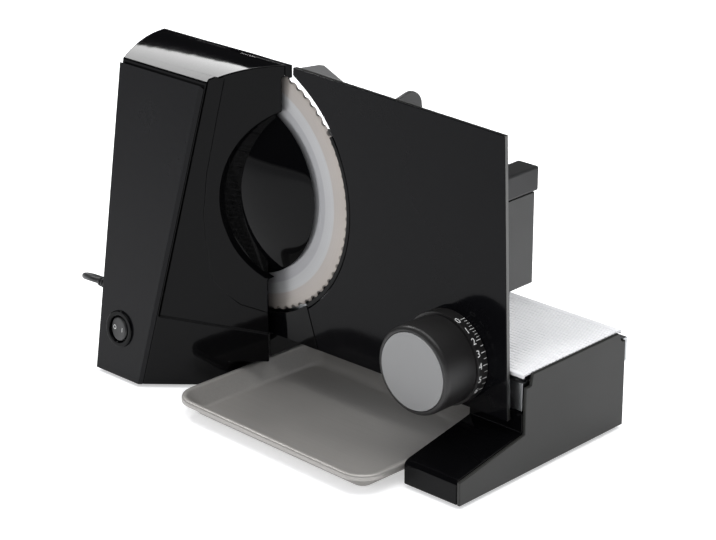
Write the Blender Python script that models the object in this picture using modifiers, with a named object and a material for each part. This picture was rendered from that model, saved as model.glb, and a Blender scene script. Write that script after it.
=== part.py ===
"""Electric food slicer: motor tower, toothed blade, gauge plate with setting knob, deck, hand guard
carriage, tray and base. Metres, +Z up, the table at z = 0. While it is built, the blade's axis
crosses x = 0, y = 0; x runs along the blade's plane to the right and y away from the user. At the
end the whole is moved so that the middle of its box stands on the origin."""

import bpy
import bmesh
from math import atan2, cos, pi, radians, sin, sqrt, tan
from mathutils import Matrix, Vector

# Clearances and wall thicknesses
GAP = 0.0003
RUN_GAP = 0.0004
SHELL_WALL = 0.0035
BLOCK_WALL = 0.0030
CUTTER_MARGIN = 0.0200

# Blade and its drive
BLADE_HEIGHT = 0.1340
BLADE_RADIUS = 0.0850
BLADE_BEVEL_RADIUS = 0.0728
BLADE_HUB_RADIUS = 0.0540
BLADE_THICKNESS = 0.0012
BLADE_HUB_FRONT = 0.0028
BLADE_EDGE_FRONT = 0.0010
BLADE_BORE = 0.0056
TOOTH_COUNT = 75
BLADE_STEPS = 75
TOOTH_DEPTH = 0.0011
BLADE_RUN_GAP = 0.0016
SCREW_HEAD_RADIUS = 0.0130
SCREW_HEAD_HEIGHT = 0.0010
SCREW_SHANK_RADIUS = 0.0052
GEAR_RADIUS = 0.0420
GEAR_TEETH = 60
GEAR_TOOTH_DEPTH = 0.0012
GEAR_FRONT = 0.0120
GEAR_BACK = 0.0070
GEAR_HUB_RADIUS = 0.0200
GEAR_SHAFT_RADIUS = 0.0060
GEAR_SHAFT_FRONT = 0.0172
BUSH_WALL = 0.0025
BUSH_LENGTH = 0.0036
WORM_RADIUS = 0.0040
WORM_LENGTH = 0.0200
WORM_FRONT = 0.0095
WORM_SHAFT_RADIUS = 0.0022
WORM_SHAFT_BELOW = 0.0640
MOTOR_RADIUS = 0.0145
MOTOR_ABOVE_TABLE = 0.0160
MOTOR_LENGTH = BLADE_HEIGHT - WORM_SHAFT_BELOW - MOTOR_ABOVE_TABLE
BRACKET_THICKNESS = 0.0025

# Gear housing, the dome in the blade
DOME_RADIUS = 0.0591
DOME_CROWN = 0.0215
DOME_RIM = 0.0050
DOME_WALL = 0.0015
DOME_FULLNESS = 2.0
DOME_SHOULDER = 0.9
ARM_HEIGHT = 0.0140
ARM_RISE = 0.0390
ARM_FRONT = 0.0220
ARM_RIGHT = -0.0380

# Motor tower
TOWER_LEFT = -0.0805
TOWER_FRONT = -0.0702
TOWER_LEAN = radians(8.4)
TOWER_ABOVE_BLADE = 0.0019
TOWER_TOP = BLADE_HEIGHT + BLADE_RADIUS + TOWER_ABOVE_BLADE
TOWER_CROWN_RADIUS = 0.0588
TOWER_CROWN_Y = -0.0020
TOWER_BACK = -0.0043
TOWER_RIGHT = 0.0600
TOWER_STEP_X = -0.0200
TOWER_STEP_HEIGHT = 0.0160
FLANK_X = 0.0365
FLANK_Y = -0.0020
FLANK_TURN = radians(41.9)
FLANK_LOWER_RIGHT = 0.0246
FLANK_STEP_DROP = 0.0570
FLANK_LOWER_TOP = BLADE_HEIGHT - FLANK_STEP_DROP
FLANK_UPPER_RIGHT = 0.0322
FLANK_UPPER_DROP = 0.0079
FLANK_UPPER_TOP = TOWER_TOP - FLANK_UPPER_DROP
OPENING_RADIUS = 0.0595
OPENING_LIP = 0.0041
OPENING_BEYOND = 0.0174
OPENING_DROP = 0.0026
OPENING_HEIGHT = BLADE_HEIGHT - OPENING_DROP
POCKET_DEPTH = 0.0016
POCKET_MARGIN = 0.0045
POCKET_CONTOUR = [
    (0.0412, 0.0783),
    (0.0471, 0.0496),
    (0.0540, 0.0140),
    (0.0565, -0.0123),
    (0.0558, -0.0288),
    (0.0538, -0.0455),
    (0.0513, -0.0581),
    (0.0433, -0.0673),
    (0.0341, -0.0748),
    (0.0177, -0.0801),
    (0.0100, -0.0820),
]
POCKET_BOTTOM_RIGHT = -0.0965
POCKET_BOTTOM_LEFT = -0.0835
PANEL_THICKNESS = 0.0020
FOOT_HEIGHT = 0.0020
FOOT_RADIUS = 0.0070
POST_RADIUS = 0.0050
POST_LEFT = -0.0700
POST_TOP_DROP = 0.0159
POST_MIDDLE_DROP = 0.0740
POST_RIGHT = 0.0050
POST_RIGHT_HEIGHT = 0.0300
GUARD_SCREW_RADIUS = 0.0019
GUARD_SCREW_HEAD = 0.0035
GUARD_SCREW_DEPTH = 0.0120

# Switch on the front panel
SWITCH_X = -0.0608
SWITCH_HEIGHT = 0.0340
SWITCH_RADIUS = 0.0122
SWITCH_BODY_RADIUS = 0.0100
SWITCH_BODY_DEPTH = 0.0180
SWITCH_BORE = 0.0090
SWITCH_RIM = 0.0015
ROCKER_RADIUS = 0.0082
ROCKER_TILT = radians(7)

# Blade guard plate behind the tower
GUARD_FRONT = 0.0040
GUARD_BACK = 0.0003
GUARD_BULGE_MARGIN = 0.0050
GUARD_BULGE_RADIUS = BLADE_RADIUS + GUARD_BULGE_MARGIN
GUARD_TAIL_X = 0.0138
GUARD_TAIL_HEIGHT = 0.0350
SEAM_TOP_ANGLE = radians(-54.3)
SEAM_BOTTOM_X = 0.0604

# Gauge plate
GAUGE_FRONT = 0.0040
GAUGE_BACK = 0.0008
GAUGE_LEFT = 0.0406
GAUGE_BELOW_TOWER = 0.0001
GAUGE_TOP_FALL = 0.0047
GAUGE_TOP_LEFT = (GAUGE_LEFT, TOWER_TOP - GAUGE_BELOW_TOWER)
GAUGE_TOP_RIGHT = (0.2123, GAUGE_TOP_LEFT[1] - GAUGE_TOP_FALL)
GAUGE_BOTTOM_RIGHT = (0.2193, 0.0363)
GAUGE_BOTTOM_LEFT_HEIGHT = 0.0352
GAUGE_CUT_MARGIN = 0.0040
GAUGE_CUT_RADIUS = BLADE_RADIUS + GAUGE_CUT_MARGIN
GAUGE_CUT_TOP_ANGLE = radians(59.0)
GAUGE_CUT_FLARE = 0.0015
GAUGE_FLARE_ANGLE = radians(20.0)
GAUGE_NOSE_DROP = 0.0050
SEAM_GAP = 0.0006
FINGER_GUARD_DEPTH = 0.0155
FINGER_GUARD_LENGTH = 0.0400
FINGER_GUARD_THICKNESS = 0.0020
ROD_RADIUS = 0.0040
ROD_LENGTH = 0.0560
ROD_HEIGHT = 0.0500
ROD_PLACES = (0.1930, 0.2090)

# Setting knob on the gauge plate
KNOB_X = 0.1735
KNOB_HEIGHT = 0.0665
KNOB_FRONT = 0.0390
KNOB_BACK = 0.0130
KNOB_RADIUS = 0.0285
KNOB_EDGE = 0.0030
KNOB_RECESS = 0.0018
KNOB_STEPS = 48
DISC_RADIUS = 0.0249
DISC_PROUD = 0.0004
DIAL_RADIUS = 0.0300
DIAL_WALL = 0.0028
DIAL_BACK = 0.0044
KNOB_SHAFT_RADIUS = 0.0040
KNOB_FLANGE_RADIUS = 0.0080
KNOB_FLANGE = 0.0012
CLIP_RADIUS = 0.0070
CLIP_THICKNESS = 0.0010
PINION_TIP = 0.0069
PINION_ROOT = 0.0051
PINION_TEETH = 10
PINION_FRONT = 0.0112
PINION_BACK = 0.0064
PINION_SPACING = 0.0125
SPINDLE_RADIUS = 0.0030
SPINDLE_END = 0.0440

# Base, deck and rail
TUNNEL_LEFT = -0.0030
TUNNEL_RIGHT = 0.1840
BASE_LEFT = -0.0780
BASE_RIGHT = 0.2260
BASE_FRONT = -0.0575
BASE_STEP_Y = 0.0020
BASE_BACK = 0.0970
TOE_HEIGHT = 0.0175
TOE_REAR_HEIGHT = 0.0284
TOE_EDGE = 0.0030
SIDE_PANEL_RIGHT = 0.2286
SIDE_PANEL_TOP = 0.0666
SIDE_PANEL_STEP = 0.0590
SIDE_PANEL_STEP_Y = 0.0070
SIDE_PANEL_REAR_STEP_Y = 0.0920
SIDE_PANEL_REAR = 0.0990
SIDE_PANEL_REAR_HEIGHT = 0.0602
RAIL_BOTTOM = 0.0416
RAIL_TOP = 0.0602
RAIL_FRONT = 0.0040
RAIL_BACK = 0.0950
RAIL_WALL = 0.0020
RAIL_RIGHT = 0.2240
DECK_TOP = 0.0668
DECK_SHEET = 0.0012
DECK_FOLD = 0.0023
DECK_BACK = 0.0976
SPACER_WIDTH = 0.0200
SPACER_PLACES = (-0.0600, 0.0700, 0.2000)
SLIDE_BLOCK_LEFT = 0.1640
SLIDE_BLOCK_BACK = 0.0240

# Carriage guide and hand guard carriage
GUIDE_FLANGE_HEIGHT = 0.0080
GUIDE_BACK = 0.1040
GUIDE_BOTTOM = 0.0440
GUIDE_TONGUE = 0.0040
GUIDE_TOP = 0.0600
RUNNER_WALL = 0.0035
RUNNER_TOP = 0.0660
RUNNER_RIGHT = 0.1060
WALL_LEFT_X = 0.0370
WALL_RIGHT_X = 0.1370
GUARD_WALL = 0.0028
WALL_NEAR_Y = 0.0080
WALL_FAR_Y = 0.1180
WALL_RIGHT_TOP = 0.1304
WALL_LEFT_TOP = 0.1790
WALL_LEFT_NEAR_TOP = 0.1560
WALL_CORNER = 0.0120
WALL_LIFT = 0.0007
GRIP_WIDTH = 0.0170
GRIP_NEAR_Y = 0.0560
GRIP_FAR_Y = 0.1215
GRIP_TOP = 0.1475
PUSHER_RAIL_HEIGHT = 0.1060
PUSHER_RAIL_SIZE = 0.0080
PUSHER_RAIL_DEPTH = 0.0060
PUSHER_LEFT = -0.0550
PUSHER_RIGHT = 0.0290
PUSHER_Y = 0.0860
PUSHER_THICKNESS = 0.0030
PUSHER_BOTTOM = 0.0700
PUSHER_TOP = 0.1440
PUSHER_COLLAR = 0.0030
PUSHER_COLLAR_LENGTH = 0.0180
SPIKE_LENGTH = 0.0050
SPIKE_RADIUS = 0.0016

# Slice tray
TRAY_X = 0.0946
TRAY_Y = -0.0209
TRAY_TURN = radians(-2)
TRAY_WIDTH = 0.1745
TRAY_DEPTH = 0.1300
TRAY_HEIGHT = 0.0134
TRAY_SHEET = 0.0008
TRAY_CORNER = 0.0180
TRAY_WALL_INSET = 0.0104
TRAY_BOTTOM_FOLD = 0.0012
TRAY_RIM = 0.0036
TRAY_RIM_DROP = 0.0030

# Power cord
CORD_DIAMETER = 0.0044
RELIEF_Y = -0.0450
RELIEF_HEIGHT = 0.0500
RELIEF_LENGTH = 0.0220
RELIEF_BASE_RADIUS = 0.0052
RELIEF_TIP_RADIUS = 0.0031
CORD_LIE = 0.0025
COIL_X = -0.0450
COIL_Y = 0.1500
COIL_TURNS = 7
COIL_INNER = 0.01475
COIL_PITCH = 0.0050
COIL_LAYER = 0.0049
COIL_POINTS = 24
COIL_TAIL = 0.0280
CORD_STEP = 0.0110
PLUG_LENGTH = 0.0360
PLUG_WIDTH = 0.0340
PLUG_THICKNESS = 0.0136
PIN_LENGTH = 0.0190
PIN_RADIUS = 0.0020
PIN_SPACING = 0.0190

FRONTWARD = (pi / 2, 0, 0)
SIDEWAYS = (pi / 2, 0, pi / 2)
ROUND_STEPS = 40
DOME_STEPS = 48
DOME_RISE_STEPS = 8

# Start from an empty scene
for old in list(bpy.data.objects):
    bpy.data.objects.remove(old)

parts = bpy.data.collections.new("food_slicer")
bpy.context.scene.collection.children.link(parts)
cutters = bpy.data.collections.new("cutters")
bpy.context.scene.collection.children.link(cutters)

root = bpy.data.objects.new("slicer_frame", None)
parts.objects.link(root)


# Materials


def material(name, colour, roughness, metallic=0.0):
    made = bpy.data.materials.new(name)
    made.use_nodes = True
    shader = made.node_tree.nodes["Principled BSDF"]
    shader.inputs["Base Color"].default_value = (*colour, 1.0)
    shader.inputs["Roughness"].default_value = roughness
    shader.inputs["Metallic"].default_value = metallic
    return made


GLOSS_BLACK = material("gloss black plastic", (0.012, 0.012, 0.014), 0.12)
SATIN_BLACK = material("satin black plastic", (0.030, 0.030, 0.033), 0.50)
CHARCOAL = material("charcoal coated aluminium", (0.018, 0.018, 0.021), 0.15, 0.2)
DARK_GREY = material("dark grey plastic", (0.055, 0.055, 0.050), 0.55)
STEEL = material("brushed steel", (0.60, 0.59, 0.57), 0.35, 1.0)
BLADE_STEEL = material("ground blade steel", (0.58, 0.54, 0.50), 0.30, 1.0)
ALUMINIUM = material("aluminium", (0.55, 0.55, 0.55), 0.40, 1.0)
SILVER_GREY = material("silver grey disc", (0.30, 0.30, 0.31), 0.45, 0.6)
BRASS = material("bronze", (0.55, 0.38, 0.18), 0.35, 1.0)
NYLON = material("white nylon", (0.75, 0.74, 0.68), 0.50)
RUBBER = material("black rubber", (0.020, 0.020, 0.020), 0.80)


# Modelling helpers


def pivot(name, place, parent=root):
    """An empty on a joint's axis, which the moving pieces hang from."""
    empty = bpy.data.objects.new(name, None)
    empty.location = Vector(place) - (Vector((0, 0, 0)) if parent is root else parent.location)
    empty.empty_display_size = 0.02
    empty.parent = parent
    parts.objects.link(empty)
    return empty


def resting_place(empty):
    place = Vector((0, 0, 0))
    while empty is not None:
        place += empty.location
        empty = empty.parent
    return place


def finished(piece, surface, carrier=root, crease=30):
    """Gives a piece its material and its carrier, and shades its round faces smooth."""
    piece.data.materials.clear()
    piece.data.materials.append(surface)
    piece.parent = carrier
    piece.matrix_parent_inverse = Matrix.Translation(-resting_place(carrier))
    piece.data.shade_smooth()
    piece.data.set_sharp_from_angle(angle=radians(crease))
    return piece


def linked(name, mesh, place=(0, 0, 0), turn=(0, 0, 0)):
    piece = bpy.data.objects.new(name, mesh)
    piece.location = place
    piece.rotation_euler = turn
    parts.objects.link(piece)
    return piece


def box(name, low, high):
    """A box from its lowest to its highest corner."""
    low = Vector(low)
    high = Vector(high)
    bm = bmesh.new()
    bmesh.ops.create_cube(bm, size=1.0)
    bmesh.ops.scale(bm, vec=high - low, verts=bm.verts)
    bmesh.ops.translate(bm, vec=(low + high) / 2, verts=bm.verts)
    mesh = bpy.data.meshes.new(name)
    bm.to_mesh(mesh)
    bm.free()
    return linked(name, mesh)


def as_mesh(curve_piece):
    """Makes a curve object a mesh with welded caps, in the same place."""
    bpy.context.view_layer.update()
    graph = bpy.context.evaluated_depsgraph_get()
    mesh = bpy.data.meshes.new_from_object(curve_piece.evaluated_get(graph))
    bm = bmesh.new()
    bm.from_mesh(mesh)
    bmesh.ops.remove_doubles(bm, verts=bm.verts, dist=1e-6)
    bm.to_mesh(mesh)
    bm.free()
    name = curve_piece.name
    piece = bpy.data.objects.new(name, mesh)
    piece.matrix_world = curve_piece.matrix_world
    bpy.data.objects.remove(curve_piece)
    piece.name = name
    parts.objects.link(piece)
    return piece


def outline(name, rings, thickness, place, turn):
    """A flat outline, with any holes in it, made solid on both sides of its own plane."""
    curve = bpy.data.curves.new(name, "CURVE")
    curve.dimensions = "2D"
    curve.fill_mode = "BOTH"
    curve.extrude = thickness / 2
    for ring in rings:
        spline = curve.splines.new("POLY")
        spline.points.add(len(ring) - 1)
        for point, (u, v) in zip(spline.points, ring):
            point.co = (u, v, 0, 1)
        spline.use_cyclic_u = True
    piece = bpy.data.objects.new(name, curve)
    piece.location = place
    piece.rotation_euler = turn
    parts.objects.link(piece)
    return as_mesh(piece)


def front_plate(name, ring, front, back, holes=()):
    """An outline drawn in x and z, from one distance in front of the blade's plane to another."""
    return outline(name, [ring, *holes], front - back, (0, -(front + back) / 2, 0), FRONTWARD)


def side_plate(name, ring, left, right):
    """An outline drawn in y and z, extruded along x."""
    return outline(name, [ring], right - left, ((left + right) / 2, 0, 0), SIDEWAYS)


def turned(name, profile, place, turn=FRONTWARD, ring=False, steps=ROUND_STEPS):
    """A turned piece: radius and height along its axis, down the outer side from the top."""
    mesh = bpy.data.meshes.new(name)
    points = [(radius, 0, height) for radius, height in profile]
    edges = [(i, i + 1) for i in range(len(points) - 1)]
    if ring:
        edges.append((len(points) - 1, 0))
    mesh.from_pydata(points, edges, [])
    piece = linked(name, mesh, place, turn)
    screw = piece.modifiers.new("turned", "SCREW")
    screw.steps = steps
    screw.render_steps = steps
    screw.use_merge_vertices = True
    screw.merge_threshold = 0.00001
    return piece


def tube_ring(outer, inner, top, bottom):
    return [(outer, top), (outer, bottom), (inner, bottom), (inner, top)]


def rod(name, radius, top, bottom, place, turn=FRONTWARD, steps=24):
    return turned(name, [(0, top), (radius, top), (radius, bottom), (0, bottom)], place, turn, steps=steps)


def combined(piece, other, operation):
    boolean = piece.modifiers.new(other.name, "BOOLEAN")
    boolean.operation = operation
    boolean.object = other
    if other.name not in cutters.objects:
        parts.objects.unlink(other)
        cutters.objects.link(other)
        other.parent = root
        other.hide_render = True
        other.display_type = "WIRE"


def cut(piece, *tools):
    for tool in tools:
        combined(piece, tool, "DIFFERENCE")


def joined(piece, *others):
    for other in others:
        combined(piece, other, "UNION")


def bevelled(piece, width, segments=2, angle=40):
    bevel = piece.modifiers.new("bevel", "BEVEL")
    bevel.width = width
    bevel.segments = segments
    bevel.limit_method = "ANGLE"
    bevel.angle_limit = radians(angle)
    return piece


def arc(centre, radius, start, end, count):
    """Points on an arc, both ends included."""
    step = (end - start) / (count - 1)
    angles = [start + i * step for i in range(count)]
    return [(centre[0] + radius * cos(a), centre[1] + radius * sin(a)) for a in angles]


def toothed(centre, root_radius, tip_radius, count, first=0.0, share=0.35):
    """The outline of a wheel with trapezoid teeth."""
    points = []
    pitch = 2 * pi / count
    for i in range(count):
        middle = first + i * pitch
        for offset, radius in ((-0.5 * share - 0.12, root_radius), (-0.5 * share, tip_radius),
                               (0.5 * share, tip_radius), (0.5 * share + 0.12, root_radius)):
            angle = middle + offset * pitch
            points.append((centre[0] + radius * cos(angle), centre[1] + radius * sin(angle)))
    return points


def flank_point(along, out=0.0):
    """A place in plan on the tower's slanting flank: along it to the left, and out from it."""
    x = FLANK_X - along * cos(FLANK_TURN) + out * sin(FLANK_TURN)
    y = FLANK_Y - along * sin(FLANK_TURN) - out * cos(FLANK_TURN)
    return x, y


FLANK_NORMAL = Vector((sin(FLANK_TURN), -cos(FLANK_TURN), 0))
PANEL_NORMAL = Vector((0, -cos(TOWER_LEAN), sin(TOWER_LEAN)))
PANEL_UP = Vector((0, sin(TOWER_LEAN), cos(TOWER_LEAN)))


def facing(normal, up):
    """The turn that points a piece's own z along the normal and its own y up."""
    side = up.cross(normal)
    return Matrix((side, up, normal)).transposed().to_euler()


# Motor tower


def panel_y(height, inset=0.0):
    """The front panel's plane, or one that lies inside it."""
    return TOWER_FRONT + (height - FOOT_HEIGHT) * tan(TOWER_LEAN) + inset / cos(TOWER_LEAN)


def crown_corner(front_inset, radius):
    """Where the leaning front meets the round crown."""
    slope = tan(TOWER_LEAN)
    y0 = panel_y(FOOT_HEIGHT, front_inset) - FOOT_HEIGHT * slope - TOWER_CROWN_Y
    z0 = TOWER_TOP - TOWER_CROWN_RADIUS
    a = 1 + slope * slope
    b = 2 * (y0 * slope - z0)
    c = y0 * y0 + z0 * z0 - radius * radius
    height = (-b + sqrt(b * b - 4 * a * c)) / (2 * a)
    return y0 + slope * height + TOWER_CROWN_Y, height


def tower_profile(front_inset, top_inset, back, bottom):
    radius = TOWER_CROWN_RADIUS - top_inset
    centre = (TOWER_CROWN_Y, TOWER_TOP - TOWER_CROWN_RADIUS)
    y, z = crown_corner(front_inset, radius)
    start = atan2(z - centre[1], y - centre[0])
    crown_end = min(back, TOWER_CROWN_Y) - centre[0]
    points = [(panel_y(bottom, front_inset), bottom)]
    points += arc(centre, radius, start, atan2(sqrt(radius**2 - crown_end**2), crown_end), 9)
    if back > TOWER_CROWN_Y:
        points.append((back, centre[1] + radius))
    points.append((back, bottom))
    return points


def in_front_of_flank(name, inset, bottom=-CUTTER_MARGIN):
    """A block that takes away all that lies outside the slanting flank, from a height upwards."""
    top = TOWER_TOP + CUTTER_MARGIN
    right = -TOWER_RIGHT
    left = (FLANK_X - TOWER_LEFT) / cos(FLANK_TURN) + CUTTER_MARGIN
    far = TOWER_RIGHT - TOWER_FRONT
    ring = [flank_point(right, -inset), flank_point(left, -inset), flank_point(left, far), flank_point(right, far)]
    return outline(name, [ring], top - bottom, (0, 0, (top + bottom) / 2), (0, 0, 0))


def beyond_flank_end(name, end_x, wall, bottom, top):
    """A block that takes away all that lies right of the flank's end, square to the flank."""
    near = (FLANK_X - end_x) / cos(FLANK_TURN) + wall
    far = -TOWER_RIGHT
    reach = TOWER_RIGHT - TOWER_FRONT
    ring = [flank_point(far, -reach), flank_point(near, -reach), flank_point(near, reach), flank_point(far, reach)]
    return outline(name, [ring], top - bottom, (0, 0, (top + bottom) / 2), (0, 0, 0))


shell_flank = in_front_of_flank("shell_flank", 0.0)
cavity_flank = in_front_of_flank("cavity_flank", SHELL_WALL)

SHELL_FRONT = PANEL_THICKNESS + GAP
POSTS = (
    (POST_LEFT, TOWER_TOP - POST_TOP_DROP),
    (POST_LEFT, BLADE_HEIGHT - POST_MIDDLE_DROP),
    (POST_RIGHT, POST_RIGHT_HEIGHT),
)


def tower_cavity():
    ring = tower_profile(SHELL_FRONT + SHELL_WALL, SHELL_WALL, TOWER_BACK + 0.005, FOOT_HEIGHT + SHELL_WALL)
    cavity = side_plate("tower_cavity", ring, TOWER_LEFT + SHELL_WALL, TOWER_RIGHT)
    step = box(
        "cavity_step",
        (TOWER_STEP_X - SHELL_WALL, TOWER_FRONT - CUTTER_MARGIN, -CUTTER_MARGIN),
        (TOWER_RIGHT + CUTTER_MARGIN, CUTTER_MARGIN, TOWER_STEP_HEIGHT + SHELL_WALL),
    )
    end = beyond_flank_end("cavity_end", FLANK_LOWER_RIGHT, SHELL_WALL, -2 * CUTTER_MARGIN,
                           FLANK_LOWER_TOP - SHELL_WALL)
    cut(cavity, cavity_flank, step, end)
    return cavity


def opening_cutter():
    lip = OPENING_LIP
    radius = OPENING_RADIUS
    profile = [(0, 0.040), (radius + lip, 0.040), (radius + lip, 0)]
    profile += [(radius + lip * (1 - sin(a)), -lip * (1 - cos(a))) for a in (0.4, 0.8, 1.2, pi / 2)]
    profile += [(radius, -0.060), (0, -0.060)]
    x, y = flank_point(-OPENING_BEYOND)
    turn = facing(FLANK_NORMAL, Vector((0, 0, 1)))
    return turned("opening_cutter", profile, (x, y, OPENING_HEIGHT), turn, steps=72)


def pocket_cutter():
    """The shallow pocket in the flank, left of the raised land around the opening."""

    def panel_edge(height):
        return (FLANK_Y - panel_y(BLADE_HEIGHT + height)) / sin(FLANK_TURN) - POCKET_MARGIN

    top = POCKET_CONTOUR[0][1]
    ring = [(-s, z) for s, z in POCKET_CONTOUR]
    ring.append((-POCKET_CONTOUR[-1][0], POCKET_BOTTOM_RIGHT))
    ring.append((-panel_edge(POCKET_BOTTOM_LEFT), POCKET_BOTTOM_LEFT))
    ring.append((-panel_edge(top), top))
    x, y = flank_point(0)
    turn = facing(FLANK_NORMAL, Vector((0, 0, 1)))
    return outline("pocket_cutter", [ring], 2 * POCKET_DEPTH, (x, y, BLADE_HEIGHT), turn)


def dome_profile(radius, front, rim, steps):
    """The dome from its crown to its rim, full at the middle and falling off at the shoulder."""
    points = []
    for i in range(steps + 1):
        share = sin(pi / 2 * i / steps)
        height = rim + (front - rim) * max(0.0, 1 - share**DOME_FULLNESS) ** DOME_SHOULDER
        points.append((radius * share, height))
    return points


def dome_clearance():
    radius = DOME_RADIUS + RUN_GAP
    back = DOME_RIM - 0.003
    profile = dome_profile(radius, DOME_CROWN + RUN_GAP, DOME_RIM, DOME_RISE_STEPS) + [(radius, back), (0, back)]
    return turned("dome_clearance", profile, (0, 0, BLADE_HEIGHT), steps=DOME_STEPS)


def switch_seat(name, radius):
    place = (SWITCH_X, panel_y(SWITCH_HEIGHT), SWITCH_HEIGHT)
    return rod(name, radius, 0.004, -0.012, place, facing(PANEL_NORMAL, PANEL_UP))


def tower_shell():
    ring = tower_profile(SHELL_FRONT, 0.0, TOWER_BACK, FOOT_HEIGHT)
    shell = side_plate("tower_shell", ring, TOWER_LEFT, TOWER_RIGHT)
    front = TOWER_FRONT - CUTTER_MARGIN
    right = TOWER_RIGHT + CUTTER_MARGIN
    step = box("shell_step", (TOWER_STEP_X, front, -CUTTER_MARGIN), (right, CUTTER_MARGIN, TOWER_STEP_HEIGHT))
    lower = beyond_flank_end("shell_lower_end", FLANK_LOWER_RIGHT, 0.0, -2 * CUTTER_MARGIN, FLANK_LOWER_TOP)
    upper = beyond_flank_end("shell_upper_end", FLANK_UPPER_RIGHT, 0.0, FLANK_LOWER_TOP - CUTTER_MARGIN,
                             FLANK_UPPER_TOP)
    cut(shell, shell_flank, step, lower, upper, tower_cavity(), opening_cutter(), pocket_cutter())
    for number, (x, z) in enumerate(POSTS):
        inner = panel_y(z, SHELL_FRONT + SHELL_WALL - 0.0015)
        if x > 0:
            inner = FLANK_Y - (FLANK_X - x) * tan(FLANK_TURN) + 0.0035
        hole = GUARD_SCREW_RADIUS + GAP
        depth = GUARD_SCREW_DEPTH + GAP
        profile = [(0, -inner), (POST_RADIUS, -inner), (POST_RADIUS, -TOWER_BACK)]
        profile += [(hole, -TOWER_BACK), (hole, depth), (0, depth)]
        joined(shell, turned(f"post_{number}", profile, (x, 0, z), steps=24))
    cut(shell, switch_seat("shell_switch_hole", SWITCH_BODY_RADIUS + GAP), dome_clearance())
    return finished(shell, GLOSS_BLACK)


def tower_face_panel():
    outer = crown_corner(0.0, TOWER_CROWN_RADIUS)
    inner = crown_corner(PANEL_THICKNESS, TOWER_CROWN_RADIUS)
    ring = [
        (panel_y(FOOT_HEIGHT), FOOT_HEIGHT),
        outer,
        inner,
        (panel_y(FOOT_HEIGHT, PANEL_THICKNESS), FOOT_HEIGHT),
    ]
    panel = side_plate("tower_face_panel", ring, TOWER_LEFT, TOWER_RIGHT)
    cut(panel, shell_flank, switch_seat("panel_switch_hole", SWITCH_BODY_RADIUS + GAP))
    return finished(panel, SATIN_BLACK)


def blade_guard():
    cut_radius = BLADE_RADIUS + BLADE_RUN_GAP
    centre = (0, BLADE_HEIGHT)
    right = FLANK_X
    top_angle = atan2(sqrt(cut_radius**2 - right**2), right)
    bulge = atan2(sqrt(GUARD_BULGE_RADIUS**2 - TOWER_LEFT**2), -TOWER_LEFT)
    ring = [(TOWER_LEFT, FOOT_HEIGHT)]
    ring += arc(centre, GUARD_BULGE_RADIUS, pi + bulge, pi - bulge, 13)
    ring += [(TOWER_LEFT, TOWER_TOP), (right, TOWER_TOP)]
    ring += arc(centre, cut_radius, top_angle, 2 * pi + SEAM_TOP_ANGLE, 61)
    ring += [(SEAM_BOTTOM_X, GAUGE_BOTTOM_LEFT_HEIGHT), (GUARD_TAIL_X, GUARD_TAIL_HEIGHT)]
    ring += [(GUARD_TAIL_X, TOWER_STEP_HEIGHT), (TOWER_STEP_X, TOWER_STEP_HEIGHT)]
    ring.append((TOWER_STEP_X, FOOT_HEIGHT))
    guard = front_plate("blade_guard", ring, GUARD_FRONT, GUARD_BACK)
    cut(guard, in_front_of_flank("guard_corner", 0.0, FLANK_UPPER_TOP))
    for number, (x, z) in enumerate(POSTS):
        shank = GUARD_SCREW_RADIUS + GAP
        head = GUARD_SCREW_HEAD + GAP
        profile = [(0, 0.010), (shank, 0.010), (shank, 0.0022), (head, 0.0022), (head, -0.001), (0, -0.001)]
        cut(guard, turned(f"guard_hole_{number}", profile, (x, 0, z), steps=24))
    return finished(guard, GLOSS_BLACK)


def guard_screw(number, x, z):
    """One of the screws that hold the guard plate to the tower's posts."""
    shank = GUARD_SCREW_RADIUS
    head = GUARD_SCREW_HEAD
    profile = [(0, GUARD_SCREW_DEPTH), (shank, GUARD_SCREW_DEPTH), (shank, 0.0019)]
    profile += [(head, 0.0019), (head, GUARD_BACK + 0.0002), (0, GUARD_BACK + 0.0002)]
    return finished(turned(f"guard_screw_{number}", profile, (x, 0, z), steps=16), STEEL)


def switch_bezel():
    rim = SWITCH_RIM
    bore = SWITCH_BORE
    profile = [(0, -0.0060), (bore, -0.0060), (bore, rim - 0.0005), (bore + 0.0005, rim)]
    profile += [(SWITCH_RADIUS - 0.0006, rim), (SWITCH_RADIUS, rim - 0.0006), (SWITCH_RADIUS, GAP)]
    profile += [(SWITCH_BODY_RADIUS, GAP), (SWITCH_BODY_RADIUS, -SWITCH_BODY_DEPTH), (0, -SWITCH_BODY_DEPTH)]
    place = (SWITCH_X, panel_y(SWITCH_HEIGHT), SWITCH_HEIGHT)
    return finished(turned("switch_bezel", profile, place, facing(PANEL_NORMAL, PANEL_UP)), SATIN_BLACK)


def switch_rocker():
    """Rests with its left side pressed in, at off."""
    place = Vector((SWITCH_X, panel_y(SWITCH_HEIGHT), SWITCH_HEIGHT)) - 0.001 * PANEL_NORMAL
    axis = pivot("switch_axis", place)
    radius = ROCKER_RADIUS
    profile = [(0, 0.0024), (radius - 0.0016, 0.0024), (radius, 0.0012), (radius - 0.0004, -0.0020), (0, -0.0030)]
    tilt = Matrix.Rotation(-ROCKER_TILT, 3, PANEL_UP)
    turn = (tilt @ facing(PANEL_NORMAL, PANEL_UP).to_matrix()).to_euler()
    return finished(turned("switch_rocker", profile, place, turn), SATIN_BLACK, axis)


tower_shell()
tower_face_panel()
blade_guard()
for screw_number, (screw_x, screw_z) in enumerate(POSTS):
    guard_screw(screw_number + 1, screw_x, screw_z)
switch_bezel()
switch_rocker()


# Gear housing, blade and drive

BLADE_CENTRE = (0, 0, BLADE_HEIGHT)
WORM_X = -(GEAR_RADIUS + GAP + WORM_RADIUS)
WORM_CENTRE = Vector((WORM_X, -WORM_FRONT, BLADE_HEIGHT))
WORM_TURN = (TOWER_LEAN * -1, 0, 0)


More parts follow.
